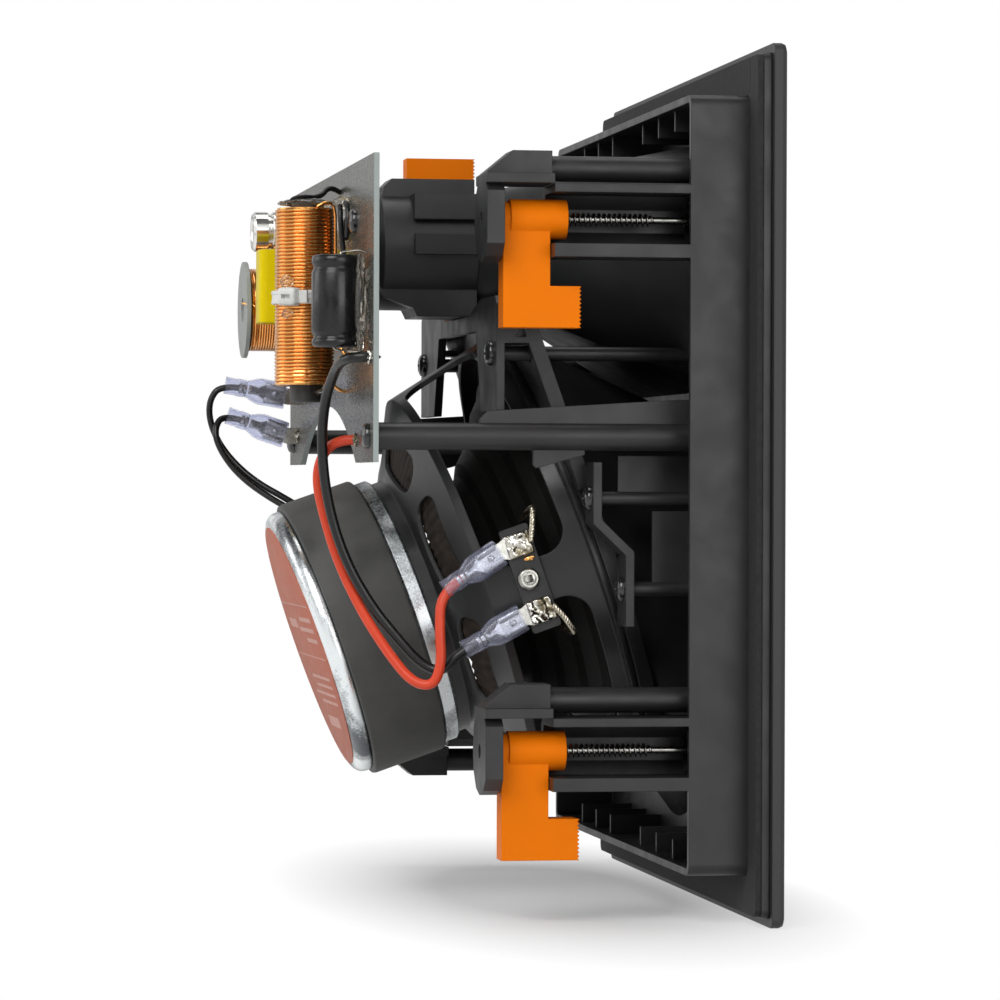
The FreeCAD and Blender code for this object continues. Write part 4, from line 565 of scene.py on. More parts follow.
# The finishes that the solids wear are named for the record's slots
FINISHES = (
    Moulded("black_abs", (0.019, 0.019, 0.0195), rough=0.4),
    Moulded("gloss_abs", (0.015, 0.015, 0.015), rough=0.18, depth=0.000005, gloss=0.6),
    Perforated("grille_metal"),
    Plain("foam", (0.016, 0.016, 0.016), rough=0.85, grain=1500.0, depth=0.0002),
    Moulded("orange_nylon", (0.92, 0.205, 0.003), rough=0.42, mottle=0.081, depth=0.00001, gloss=0.05),
    Plain("black_steel", (0.24, 0.235, 0.22), rough=0.24, metallic=1.0, vary=0.4),
    Plain("black_lacquer", (0.012, 0.012, 0.012), rough=0.2, vary=0.1, coat=0.5),
    Moulded("basket_metal", (0.016, 0.016, 0.0165), rough=0.33, edge=0.0008, gloss=0.5),
    Plated("zinc"),
    Ferrite("ferrite"),
    Plain("label_film", (0.55, 0.165, 0.10), rough=0.5, grain=300.0, depth=0.00001, vary=0.04, gloss=0.25),
    Plain("cone_paper", (0.010, 0.0095, 0.009), rough=0.6, grain=900.0, gloss=0.3),
    Plain("soft_rubber", (0.015, 0.015, 0.015), rough=0.5),
    Plain("spider_cloth", (0.20, 0.09, 0.035), rough=0.8, grain=1600.0, depth=0.0002),
    Plain("coil_former", (0.45, 0.28, 0.12), rough=0.4, metallic=0.4),
    Plain("fibre_board", (0.02, 0.02, 0.02), rough=0.6),
    Plain("nickel", (0.45, 0.445, 0.41), rough=0.28, metallic=1.0, grain=500.0, depth=0.0001, vary=0.25),
    Plain("copper_braid", (0.60, 0.55, 0.44), rough=0.3, metallic=1.0),
    Clear("clear_sleeve"),
    Plain("red_pvc", (0.76, 0.07, 0.026), rough=0.36, grain=300.0, depth=0.00001, vary=0.05, gloss=0.35),
    Plain("black_pvc", (0.007, 0.007, 0.007), rough=0.3, grain=300.0, depth=0.00001, gloss=0.4),
    Plain("silk", (0.03, 0.03, 0.03), rough=0.5),
    Laminate("circuit_board"),
    Plain("coil_core", (0.02, 0.02, 0.02), rough=0.45),
    Plain("enamelled_copper", (0.88, 0.42, 0.12), rough=0.2, metallic=1.0, grain=260.0, depth=0.00001, vary=0.12,
          coat=0.3),
    Plain("grey_bobbin", (0.34, 0.36, 0.34), rough=0.4, vary=0.08),
    Plain("yellow_film", (0.90, 0.70, 0.002), rough=0.35, grain=200.0, depth=0.00001, vary=0.03, gloss=0.12),
    Plain("can_metal", (0.80, 0.79, 0.76), rough=0.15, metallic=1.0, grain=300.0, depth=0.00001, vary=0.06),
    Plain("black_wrap", (0.008, 0.008, 0.0085), rough=0.26, grain=200.0, depth=0.000005, vary=0.1, gloss=0.42),
    Plain("white_nylon", (0.82, 0.82, 0.79), rough=0.4, vary=0.03),
    Clear("hot_melt", (0.92, 0.90, 0.84), (0.62, 0.55, 0.42), rough=0.08),
    Plain("vent_cloth", (0.028, 0.020, 0.015), rough=0.7, grain=1400.0, depth=0.0002, vary=0.6, gloss=0.2),
    Solder("solder"),
    Plain("label_print", (0.74, 0.40, 0.33), rough=0.5, vary=0.03, gloss=0.25),
)


def added(name: str, data: bpy.types.ID) -> bpy.types.Object:
    """Puts a new object with some data in the scene.

    Args:
        name: the object's name.
        data: its mesh, curve, lamp or camera.

    Returns:
        The new object.
    """
    item = bpy.data.objects.new(name, data)
    bpy.context.scene.collection.objects.link(item)
    return item


def shaped(name: str, mesh: Mesh, smooth: bool = True) -> bpy.types.Object:
    """Puts a bmesh in the scene and frees it.

    Args:
        name: the object's name.
        mesh: its shape.
        smooth: whether its faces are smooth.

    Returns:
        The new object.
    """
    for face in mesh.faces:
        face.smooth = smooth
    data = bpy.data.meshes.new(name)
    mesh.to_mesh(data)
    mesh.free()
    return added(name, data)


class Maker:
    """Dresses the solids, and gives new pieces their finish and body."""

    def __init__(self, frame: dict) -> None:
        """Makes each finish once and dresses every solid in its slot's finish.
        """
        self.made = {finish.name: finish.make() for finish in FINISHES}
        slots = {row["node"]: row["material_slot"] for row in frame["record"]["subparts"]}
        for name, item in frame["nodes"].items():
            for slot in item.material_slots:
                slot.material = self.made[slots[name]]

    def place(self, name: str, mesh: Mesh, finish: str, body: str = "root", smooth: bool = True,
              replaces: Sequence[str] = (), slot: Optional[str] = None) -> None:
        """Turns a bmesh into a piece of the scene.

        Args:
            name: the piece's name.
            mesh: its shape; it is freed.
            finish: the finish it wears.
            body: the body that it rides on.
            smooth: whether its faces are smooth.
            replaces: solids that it stands for.
            slot: the record's slot, where it isn't the finish's own name; passed on to settle, which does not use it.
        """
        bmesh.ops.remove_doubles(mesh, verts=mesh.verts, dist=WELD)
        bmesh.ops.recalc_face_normals(mesh, faces=mesh.faces)
        piece = shaped(name, mesh, smooth)
        if smooth:
            piece.data.set_sharp_from_angle(angle=SHARP)
        self.settle(piece, finish, body, replaces, slot)

    def settle(self, piece: bpy.types.Object, finish: str, body: str = "root", replaces: Sequence[str] = (),
               slot: Optional[str] = None) -> None:
        """Dresses a piece, lets it ride and hides the solids it stands for.

        Args:
            piece: the new object.
            finish: the finish it wears.
            body: the body that it rides on.
            replaces: solids that it stands for.
            slot: the record's slot, where it isn't the finish's own name; not used.
        """
        piece.data.materials.append(self.made[finish])
        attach(piece, body)
        if replaces:
            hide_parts(*replaces)
        LOG.info("%s rides on %s", piece.name, body)


def millimetres(*values: float) -> Vector:
    """A point given in millimetres."""
    return Vector(value * MM for value in values)


def leaning(x: float, y: float, z: float, angle: float) -> Matrix:
    """A frame at a point in millimetres, turned about the across axis by an angle in degrees."""
    return Matrix.Translation(millimetres(x, y, z)) @ Matrix.Rotation(math.radians(angle), 4, "Y")


def turns(steps: int, start: float = 0.0) -> list[float]:
    """Angles spread evenly over a full turn."""
    return [start + 2 * math.pi * step / steps for step in range(steps)]


def spoke(side: Vector, other: Vector, turn: float, size: float) -> Vector:
    """A step of some size, at an angle between two directions."""
    return (side * math.cos(turn) + other * math.sin(turn)) * size


def ring_frame(axis: Vector) -> tuple[Vector, Vector]:
    """Two directions square to an axis and to each other."""
    side = axis.orthogonal().normalized()
    return side, axis.cross(side).normalized()


def carried(line: Sequence[Vector]) -> Iterator[tuple[Vector, Vector, Vector]]:
    """Walks along a line with two directions square to it, carried on without twist.

    Args:
        line: the line's points.

    Yields:
        Each point with its two directions.
    """
    side = None
    for number, point in enumerate(line):
        ahead = (line[min(number + 1, len(line) - 1)] - line[max(number - 1, 0)]).normalized()
        side = ahead.orthogonal() if side is None else side
        side = (side - ahead * side.dot(ahead)).normalized()
        yield point, side, ahead.cross(side)


def bridge(mesh: Mesh, first: Sequence[bmesh.types.BMVert], second: Sequence[bmesh.types.BMVert]) -> None:
    """Joins two closed rows of corners.

    Args:
        mesh: the mesh to add to.
        first: one row.
        second: the other, of the same length; either row may be a single corner instead.
    """
    for step in range(max(len(first), len(second))):
        corners = [row[place % len(row)] for row, place in (
            (first, step), (first, step + 1), (second, step + 1), (second, step))]
        mesh.faces.new(tuple(dict.fromkeys(corners)))


def skin(mesh: Mesh, rings: Sequence[Sequence[Vector]], looped: bool = False) -> None:
    """Joins rings of equal length, and closes them at both ends or on each other.

    Args:
        mesh: the mesh to add to.
        rings: the rings in order.
        looped: whether the last ring joins the first.
    """
    rows = [[mesh.verts.new(point) for point in ring] for ring in rings]
    for first, second in zip(rows, rows[1:]):
        bridge(mesh, first, second)
    if looped:
        bridge(mesh, rows[-1], rows[0])
    else:
        mesh.faces.new(rows[0][::-1])
        mesh.faces.new(rows[-1])


def tube(mesh: Mesh, path: Sequence[Vector], radius: float, sides: int = 8, ends: float = 1.0) -> None:
    """Adds a round tube along a path.

    Args:
        mesh: the mesh to add to.
        path: the centre line.
        radius: the tube's radius.
        sides: sides of the tube.
        ends: the share of the radius that its two ends have.
    """
    sizes = [radius * ends, *[radius] * (len(path) - 2), radius * ends]
    skin(mesh, [[point + spoke(side, other, turn, size) for turn in turns(sides)]
                for (point, side, other), size in zip(carried(path), sizes)])


def lathe(mesh: Mesh, centre: Vector, axis: Vector, profile: Table, steps: int = 48, unit: float = MM) -> None:
    """Adds a turned shape.

    Args:
        mesh: the mesh to add to.
        centre: a point on the axis, in metres.
        axis: the axis's direction.
        profile: (along, radius) pairs; a radius of zero closes the shape.
        steps: divisions of the circle.
        unit: the profile's unit in metres.
    """
    side, other = ring_frame(axis)
    rows = [[mesh.verts.new(centre + axis * (along * unit) + spoke(side, other, turn, size * unit))
             for turn in turns(steps if size else 1)] for along, size in profile]
    for first, second in zip(rows, rows[1:]):
        bridge(mesh, first, second)


def smooth_path(route: Points, steps: int = 8) -> list[Vector]:
    """A rounded line through given points, for stiff wires.

    Args:
        route: the points in millimetres.
        steps: pieces between two of them.

    Returns:
        The line's points in metres.
    """
    spots = [millimetres(*point) for point in route]
    spots = [spots[0] * 2 - spots[1], *spots, spots[-1] * 2 - spots[-2]]
    line = []
    for before, start, end, after in zip(spots, spots[1:], spots[2:], spots[3:]):
        for step in range(steps):
            share = step / steps
            line.append(0.5 * (start * 2 + (end - before) * share
                               + (before * 2 - start * 5 + end * 4 - after) * share ** 2
                               + (start * 3 - before - end * 3 + after) * share ** 3))
    line.append(spots[-2])
    return line


def wire(mesh: Mesh, route: Points, radius: float, sides: int = 8) -> None:
    """Adds a stiff wire through points, all in millimetres."""
    tube(mesh, smooth_path(route), radius * MM, sides)


def rounded_outline(wide: float, high: float, corner: float, steps: int = 6) -> Table:
    """A rectangle with rounded corners.

    Args:
        wide: its width.
        high: its height.
        corner: the radius of its corners, held to half of the shorter side.
        steps: divisions of each corner.

    Returns:
        Its points in order.
    """
    corner = min(corner, wide / 2, high / 2)
    points = []
    for quarter, (across, up) in enumerate(((1, 1), (-1, 1), (-1, -1), (1, -1))):
        for step in range(steps + 1):
            turn = math.pi / 2 * (quarter + step / steps)
            points.append((across * (wide / 2 - corner) + corner * math.cos(turn),
                           up * (high / 2 - corner) + corner * math.sin(turn)))
    return points


def blob(mesh: Mesh, centre: Point, half: Point, seed: float, dent: float, frame: Optional[Matrix] = None) -> None:
    """Adds a lump of glue or solder.

    Args:
        mesh: the mesh to add to.
        centre: its middle in the frame, in millimetres.
        half: its half sizes in the frame, in millimetres.
        seed: what makes it differ from the others.
        dent: how uneven it is.
        frame: the frame that it is set in, where it isn't the solids' own.
    """
    frame = Matrix.Identity(4) if frame is None else frame
    for corner in bmesh.ops.create_icosphere(mesh, subdivisions=4, radius=1.0)["verts"]:
        swell = 1.0 + dent * sum(share * noise.noise(corner.co * scale + way * seed) for scale, share, way in LUMPS)
        corner.co = frame @ (millimetres(*centre) + corner.co * swell * millimetres(*half))


@dataclass
class Assembly:
    """A group of pieces of the speaker."""

    maker: Maker


@dataclass
class OnWoofer(Assembly):
    """A group that stands in the woofer's leaning frame."""

    woofer: tuple[float, float, float, float] = (-43.6, 0, -26.5, -19.5)

    @property
    def frame(self) -> Matrix:
        """The woofer's own frame, with X along its axis."""
        return leaning(*self.woofer)


@dataclass
class ClampScrews(Assembly):
    """The four clamp screws, with their coarse rolled threads, and the collars that they turn in."""

    across: float = 120
    up: float = 90.9
    root: float = 1.25
    crest: float = 2.35
    pitch: float = 1.8
    tip: float = -89.2
    thread_end: float = -30.3
    seat: float = 3.4
    head: float = 4.7
    steps: int = 24
    collar: Table = (
        (-16.4, 5.9), (-19, 5.9), (-19.2, 6.1), (-19.2, 7.2), (-18.8, 7.6), (-14.4, 7.6), (-14.4, 1.75), (-16.4, 1.75),
        (-16.4, 5.9))

    def build(self) -> None:
        """Builds each screw and collar in its place."""
        collars = bmesh.new()
        for number, (side, level) in enumerate(((-1, 1), (-1, -1), (1, 1), (1, -1)), start=1):
            centre = millimetres(0, side * self.across, level * self.up)
            self.screw(number, centre)
            lathe(collars, centre, AHEAD, self.collar)
        self.maker.place("clamp_screw_collars", collars, "gloss_abs", slot="black_abs")

    def screw(self, number: int, centre: Vector) -> None:
        """Builds one screw.

        Args:
            number: the clamp that it belongs to.
            centre: where its axis crosses the seat plane.
        """
        tip, root, seat, head = self.tip, self.root, self.seat, self.head
        mesh = bmesh.new()
        lathe(mesh, centre, AHEAD, [
            (tip, 0), (tip, root * 0.5), (tip + 1.2, root), (seat, root), (seat, head), (seat + 0.9, head),
            (seat + 1.4, head * 0.7), (seat + 1.4, 0)], self.steps)
        skin(mesh, [[centre + point for point in section] for section in self.thread()])
        self.maker.place(f"threaded_clamp_screw_{number}", mesh, "black_steel", body=f"screw_{number}", smooth=False,
                         replaces=[f"clamp_screw_{number}"])

    def thread(self) -> Iterator[list[Vector]]:
        """Sections of the thread's ridge, which rises over its first turn and fades over its last.

        Yields:
            The four corners of each section.
        """
        foot, edge, low = self.pitch * 0.24, self.pitch * 0.09, self.root * 0.97
        count = (self.thread_end - self.tip - self.pitch) / self.pitch * self.steps
        for step in range(int(count)):
            turn = 2 * math.pi * step / self.steps
            along = self.tip + 1 + self.pitch * step / self.steps
            high = self.root + (self.crest - self.root) * min(1.0, step / self.steps, (count - step) / self.steps)
            yield [millimetres(along + shift, size * math.cos(turn), size * math.sin(turn)) for shift, size in (
                (-foot, low), (-edge, high), (edge, high), (foot, low))]


@dataclass
class Fixings(Assembly):
    """The pan-head screws of the cradle's ears and of the crossover board, with their cross recesses."""

    head: float = 4.3
    thick: float = 2.5
    slit: float = 0.42
    reach: float = 2.1
    deep: float = 1.3
    steps: int = 48
    ears: Points = ((-81, 83, 46), (-49, 100, -4.6), (-37.5, 100, -36))
    board: Table = ((-128.3, -113, 16.6, 11), (-128.3, 113, 16.6, 11), (-128.3, -76, 92, 6))

    def build(self) -> None:
        """Builds both sets."""
        mesh = bmesh.new()
        for along, across, up in self.ears:
            for side in (-1, 1):
                self.screw(mesh, (along, side * across, up), 12.0, 1.3)
        self.maker.place("cross_head_ear_screws", mesh, "black_lacquer", replaces=["cradle_screws"], slot="black_steel")
        mesh = bmesh.new()
        for along, across, up, long in self.board:
            self.screw(mesh, (along, across, up), long, 1.5)
        self.maker.place("cross_head_board_screws", mesh, "black_lacquer", replaces=["board_screws"],
                         slot="black_steel")

    def screw(self, mesh: Mesh, seat: Point, long: float, shank: float) -> None:
        """Adds one screw whose head lies behind its seat.

        Args:
            mesh: the mesh to add to.
            seat: the middle of the head's underside.
            long: the shank's length.
            shank: the shank's radius.
        """
        head, thick, reach = self.head, self.thick, self.reach
        skin(mesh, [self.ring(seat, *row) for row in (
            (-long, shank * 0.3), (-long + shank, shank), (0, shank), (0, head), (thick * 0.4, head),
            (thick * 0.66, head * 0.93), (thick * 0.86, head * 0.76), (thick * 0.97, head * 0.58), (thick, head * 0.5),
            (thick, reach, self.slit), (thick - self.deep, reach * 0.55, self.slit * 0.8))])

    def ring(self, seat: Point, along: float, radius: float, slit: float = math.inf) -> list[Vector]:
        """A circle behind the seat, or a cross where a slit is given.

        Args:
            seat: the middle of the head's underside.
            along: how far behind it the ring lies.
            radius: the ring's radius.
            slit: half of the width of the cross's arms.

        Returns:
            The ring's points.
        """
        points = []
        for turn in turns(self.steps, math.pi / self.steps):
            east, north = math.cos(turn), math.sin(turn)
            size = min(radius, slit / min(abs(east), abs(north)))
            points.append(millimetres(seat[0] - along, seat[1] + size * east, seat[2] + size * north))
        return points


@dataclass
class Terminals(OnWoofer):
    """The push-on terminals: tinned pads, braids to the cone, crimped receptacles and clear sleeves."""

    roots: Table = (
        (-77.11, -82.3, -23.09, -33.8), (-69, -82.3, -46, -28.7), (-132.5, 98, 34, 10), (-132.5, 98, 18.8, 18.6))
    shell: Table = (
        (-1.6, 1.5, 6.4, 0.4), (-8.8, 1.5, 6.4, 0.4), (-10.4, 2, 4.6, 0.6), (-11.6, 3.2, 3.4, 1.5),
        (-14, 3.3, 3.4, 1.6), (-14.4, 3.6, 3.7, 1.7), (-15.4, 3.4, 3.5, 1.7))
    curl: Sequence[float] = (-1.3, -1.6, -8.6, -9.1)
    curl_out: float = 2.75
    curl_radius: float = 1.3
    curl_end: float = 1.0
    bands: Sequence[float] = (-16.2, -17.9)
    band: Table = ((0, 4.3), (-1.2, 4.3), (-1.2, 3.65), (0, 3.65))
    band_corner: float = 2.1
    sleeve: Table = (
        (-0.9, 5.9, 9.9, 2.8), (-1.6, 6.2, 10.2, 2.9), (-10.8, 6.2, 10.2, 2.9), (-12.6, 6.2, 9.5, 3),
        (-14.8, 6, 7.6, 2.9), (-16.4, 5.9, 6.3, 2.9), (-17, 6.4, 6.8, 3.2), (-20, 6.4, 6.8, 3.2), (-20.6, 6.1, 6.4, 3),
        (-23.6, 6.4, 6.6, 3.2), (-24.5, 6.9, 6.9, 3.4))
    wall: float = 0.65
    levels: Sequence[float] = (14.4, -9.9)
    pad: Point = (-24.2, -81.92, 1.25)
    pad_half: Pair = (4.75, 4.3)
    pad_grid: int = 44
    screw: Point = (-24.7, -81.9, 2)
    screw_rows: Sequence[tuple[float, float, bool]] = (
        (-9, 1.2, False), (0, 1.5, False), (0, 3.9, False), (0.9, 3.9, False), (1.5, 3.5, False), (1.75, 2.9, False),
        (1.6, 2.3, False), (1.75, 2, False), (1.75, 1.3, True), (-3, 1.2, True))
    upper_braid: Points = (
        (-19.8, -82.9, 14.2), (-17.8, -83, 18.6), (-15.6, -81.8, 23.4), (-14.7, -78.6, 25), (-14.9, -68, 23.6),
        (-15.6, -52.5, 21))
    lower_braid: Points = (
        (-19.8, -82.9, -9.6), (-17.4, -83, -14.6), (-15.8, -81.2, -19.6), (-15.2, -77, -21.2), (-15.4, -66, -20.4),
        (-15.6, -52.5, -19))
    strands: int = 4
    strand: float = 0.5
    orbit: float = 0.6
    lay: float = 4.6

    def build(self) -> None:
        """Builds every piece of the terminals."""
        self.receptacles()
        self.sleeves()
        self.pads()
        self.strip_screw()
        self.braids()

    def rings(self, frame: Matrix, stations: Table) -> list[list[Vector]]:
        """Rounded sections across a frame's X axis, from (along, thick, wide, corner) rows."""
        return [[frame @ millimetres(along, across, up) for across, up in rounded_outline(thick, wide, corner)]
                for along, thick, wide, corner in stations]

    def sleeves(self) -> None:
        """Builds the clear sleeves as thin shells."""
        mesh = bmesh.new()
        inside = [(along, thick - 2 * self.wall, wide - 2 * self.wall, corner - self.wall)
                  for along, thick, wide, corner in self.sleeve]
        for place in self.roots:
            skin(mesh, self.rings(leaning(*place), [*self.sleeve, *inside[::-1]]), looped=True)
        self.maker.place("clear_terminal_sleeves", mesh, "clear_sleeve", replaces=["receptacle_sleeves"])

    def receptacles(self) -> None:
        """Builds the receptacles, rolled over the blades and crimped on the leads."""
        mesh = bmesh.new()
        for place in self.roots:
            frame = leaning(*place)
            skin(mesh, self.rings(frame, self.shell))
            for side in (-1, 1):
                curl = [frame @ millimetres(along, 0, side * self.curl_out) for along in self.curl]
                tube(mesh, curl, self.curl_radius * MM, 14, self.curl_end / self.curl_radius)
            for start in self.bands:
                skin(mesh, self.rings(frame, [(start + along, wide, wide, self.band_corner)
                                              for along, wide in self.band]), looped=True)
            blob(mesh, (-4.8, -1, 0), (1.3, 0.5, 1.1), 3.1, 0.2, frame)
        self.maker.place("crimped_receptacles", mesh, "nickel", replaces=["push_on_receptacles"])

    def pads(self) -> None:
        """Builds the solder that covers the tabs where they are fixed to the strip."""
        mesh = bmesh.new()
        count = self.pad_grid
        spots = [2 * step / count - 1 for step in range(count + 1)]
        for level in self.levels:
            rows = [[mesh.verts.new(self.pad_point(level, u, v)) for u in spots] for v in spots]
            for first, second in zip(rows, rows[1:]):
                for column in range(count):
                    mesh.faces.new((first[column], first[column + 1], second[column + 1], second[column]))
        self.maker.place("tinned_tab_pads", mesh, "solder", slot="nickel")
        mesh = bmesh.new()
        blob(mesh, (-22, -82.1, 8.7), (1.9, 0.55, 0.75), 1.4, 0.4, self.frame)
        self.maker.place("copper_spot_on_strip", mesh, "enamelled_copper")

    def pad_point(self, level: float, u: float, v: float) -> Vector:
        """A point of a pad's lumpy, square-shouldered top.

        Args:
            level: the pad's height on the strip.
            u: place along the strip's depth, from -1 to 1.
            v: place along its height, from -1 to 1.

        Returns:
            The point.
        """
        along, across, high = self.pad
        half_deep, half_high = self.pad_half
        rise = math.sqrt((1 - abs(u) ** 14) * (1 - abs(v) ** 14))
        place = Vector((u * 2 + level, v * 1.8, level * 0.7))
        lumps = noise.noise(place) * 0.8 + noise.noise(place * 2.2) * 0.16
        return self.frame @ millimetres(along + u * half_deep, across - rise * (high + lumps), level + v * half_high)

    def strip_screw(self) -> None:
        """Builds the strip's screw: a flat head with a ridge round a square recess."""
        mesh = bmesh.new()
        along, across, up = self.screw
        rows = []
        for out, size, square in self.screw_rows:
            row = []
            for turn in turns(48, math.pi / 48 + math.pi / 4):
                east, north = math.cos(turn), math.sin(turn)
                reach = size / max(abs(east), abs(north)) if square else size
                row.append(self.frame @ millimetres(along + reach * east, across - out, up + reach * north))
            rows.append(row)
        skin(mesh, rows)
        self.maker.place("square_drive_strip_screw", mesh, "nickel", replaces=["terminal_strip_screw"])

    def braids(self) -> None:
        """Builds the tinsel leads as twisted strands through the basket's windows."""
        mesh = bmesh.new()
        for route in (self.upper_braid, self.lower_braid):
            line = [self.frame @ point for point in smooth_path(route, 16)]
            for phase in turns(self.strands):
                self.wound(mesh, line, phase)
        self.maker.place("twisted_tinsel_leads", mesh, "copper_braid", replaces=["tinsel_leads"])

    def wound(self, mesh: Mesh, line: Sequence[Vector], phase: float) -> None:
        """Adds one strand that winds round a line.

        Args:
            mesh: the mesh to add to.
            line: the braid's middle.
            phase: where on the circle it starts.
        """
        points = []
        before, along = line[0], 0.0
        for point, side, other in carried(line):
            along += (point - before).length / MM
            before = point
            points.append(point + spoke(side, other, phase + 2 * math.pi * along / self.lay, self.orbit * MM))
        tube(mesh, points, self.strand * MM)


@dataclass
class Motor(OnWoofer):
    """The woofer's ferrite ring, back plate and label, and the pleated cloth behind the basket's vents."""

    magnet: Table = (
        (-63.3, 24), (-63.3, 51.2), (-63.6, 51.7), (-64.2, 52), (-89.6, 52), (-90.7, 51.7), (-91.1, 51), (-91.2, 24),
        (-63.3, 24))
    plate: Table = (
        (-57.4, 0), (-57.4, 17.2), (-57.8, 17.6), (-91.2, 17.6), (-91.2, 49), (-91.4, 49.7), (-91.9, 50), (-93.4, 50),
        (-94.6, 49.7), (-95.6, 49.1), (-96.4, 48.2), (-96.9, 47.2), (-97.2, 46), (-97.2, 0))
    film: Table = ((-97.15, 0), (-97.15, 45.7), (-97.4, 45.8), (-97.5, 45.6), (-97.5, 0))
    cloth: Table = ((-48.9, 51.6), (-45.4, 58.2), (-40.4, 66.9), (-39.8, 66.5), (-44.8, 57.8), (-48.3, 51.2))
    pleats: int = 90
    fold: float = 0.3
    sag: float = 0.2

    def build(self) -> None:
        """Builds all of it."""
        self.turned("bevelled_ferrite_ring", self.magnet, "ferrite", "woofer_magnet")
        self.turned("rounded_back_plate", self.plate, "zinc", "woofer_back_plate")
        self.turned("motor_label", self.film, "label_film", "woofer_label")
        self.lining()

    def turned(self, name: str, profile: Table, finish: str, node: str) -> None:
        """Builds one turned piece on the woofer's axis.

        Args:
            name: the piece's name.
            profile: its (along, radius) pairs.
            finish: the finish it wears.
            node: the solid that it replaces.
        """
        mesh = bmesh.new()
        lathe(mesh, self.frame.translation, self.frame.to_3x3() @ AHEAD, profile, 160)
        self.maker.place(name, mesh, finish, replaces=[node])

    def lining(self) -> None:
        """Builds the dark pleated cloth inside the basket's vent slots."""
        mesh = bmesh.new()
        rings = []
        for along, radius in self.cloth:
            ring = []
            for turn in turns(4 * self.pleats):
                east, north = math.cos(turn), math.sin(turn)
                shift = self.fold * math.sin(turn * self.pleats) + self.sag * noise.noise(Vector((east, north, 0)) * 9)
                ring.append(self.frame @ millimetres(along + shift, radius * east, radius * north))
            rings.append(ring)
        skin(mesh, rings, looped=True)
        self.maker.place("pleated_vent_lining", mesh, "vent_cloth", slot="spider_cloth")


@dataclass
class Label(OnWoofer):
    """Pale generic rules and bars on the rear label."""

    face: float = -97.5
    bars: Table = (
        (0, 16, 78, 0.5), (0, -4, 82, 0.5), (-18, 10.6, 34, 1.7), (-14, 6.6, 42, 1.7), (-20, 2.6, 30, 1.7),
        (22, 8.4, 22, 3.6), (-6, -12, 52, 1.2), (-9, -15.2, 46, 1.2), (-4, -18.4, 56, 1.2), (-8, -21.6, 44, 1.2),
        (0, -29.5, 30, 4.2))

    def build(self) -> None:
        """Builds the bars as one thin print."""
        mesh = bmesh.new()
        for across, up, wide, high in self.bars:
            outline = rounded_outline(wide, high, 0.2, 3)
            skin(mesh, [[self.frame @ millimetres(along, across + y, up + z) for y, z in outline]
                        for along in (self.face + 0.01, self.face - 0.05)])
        self.maker.place("label_bars", mesh, "label_print", smooth=False, slot="label_film")


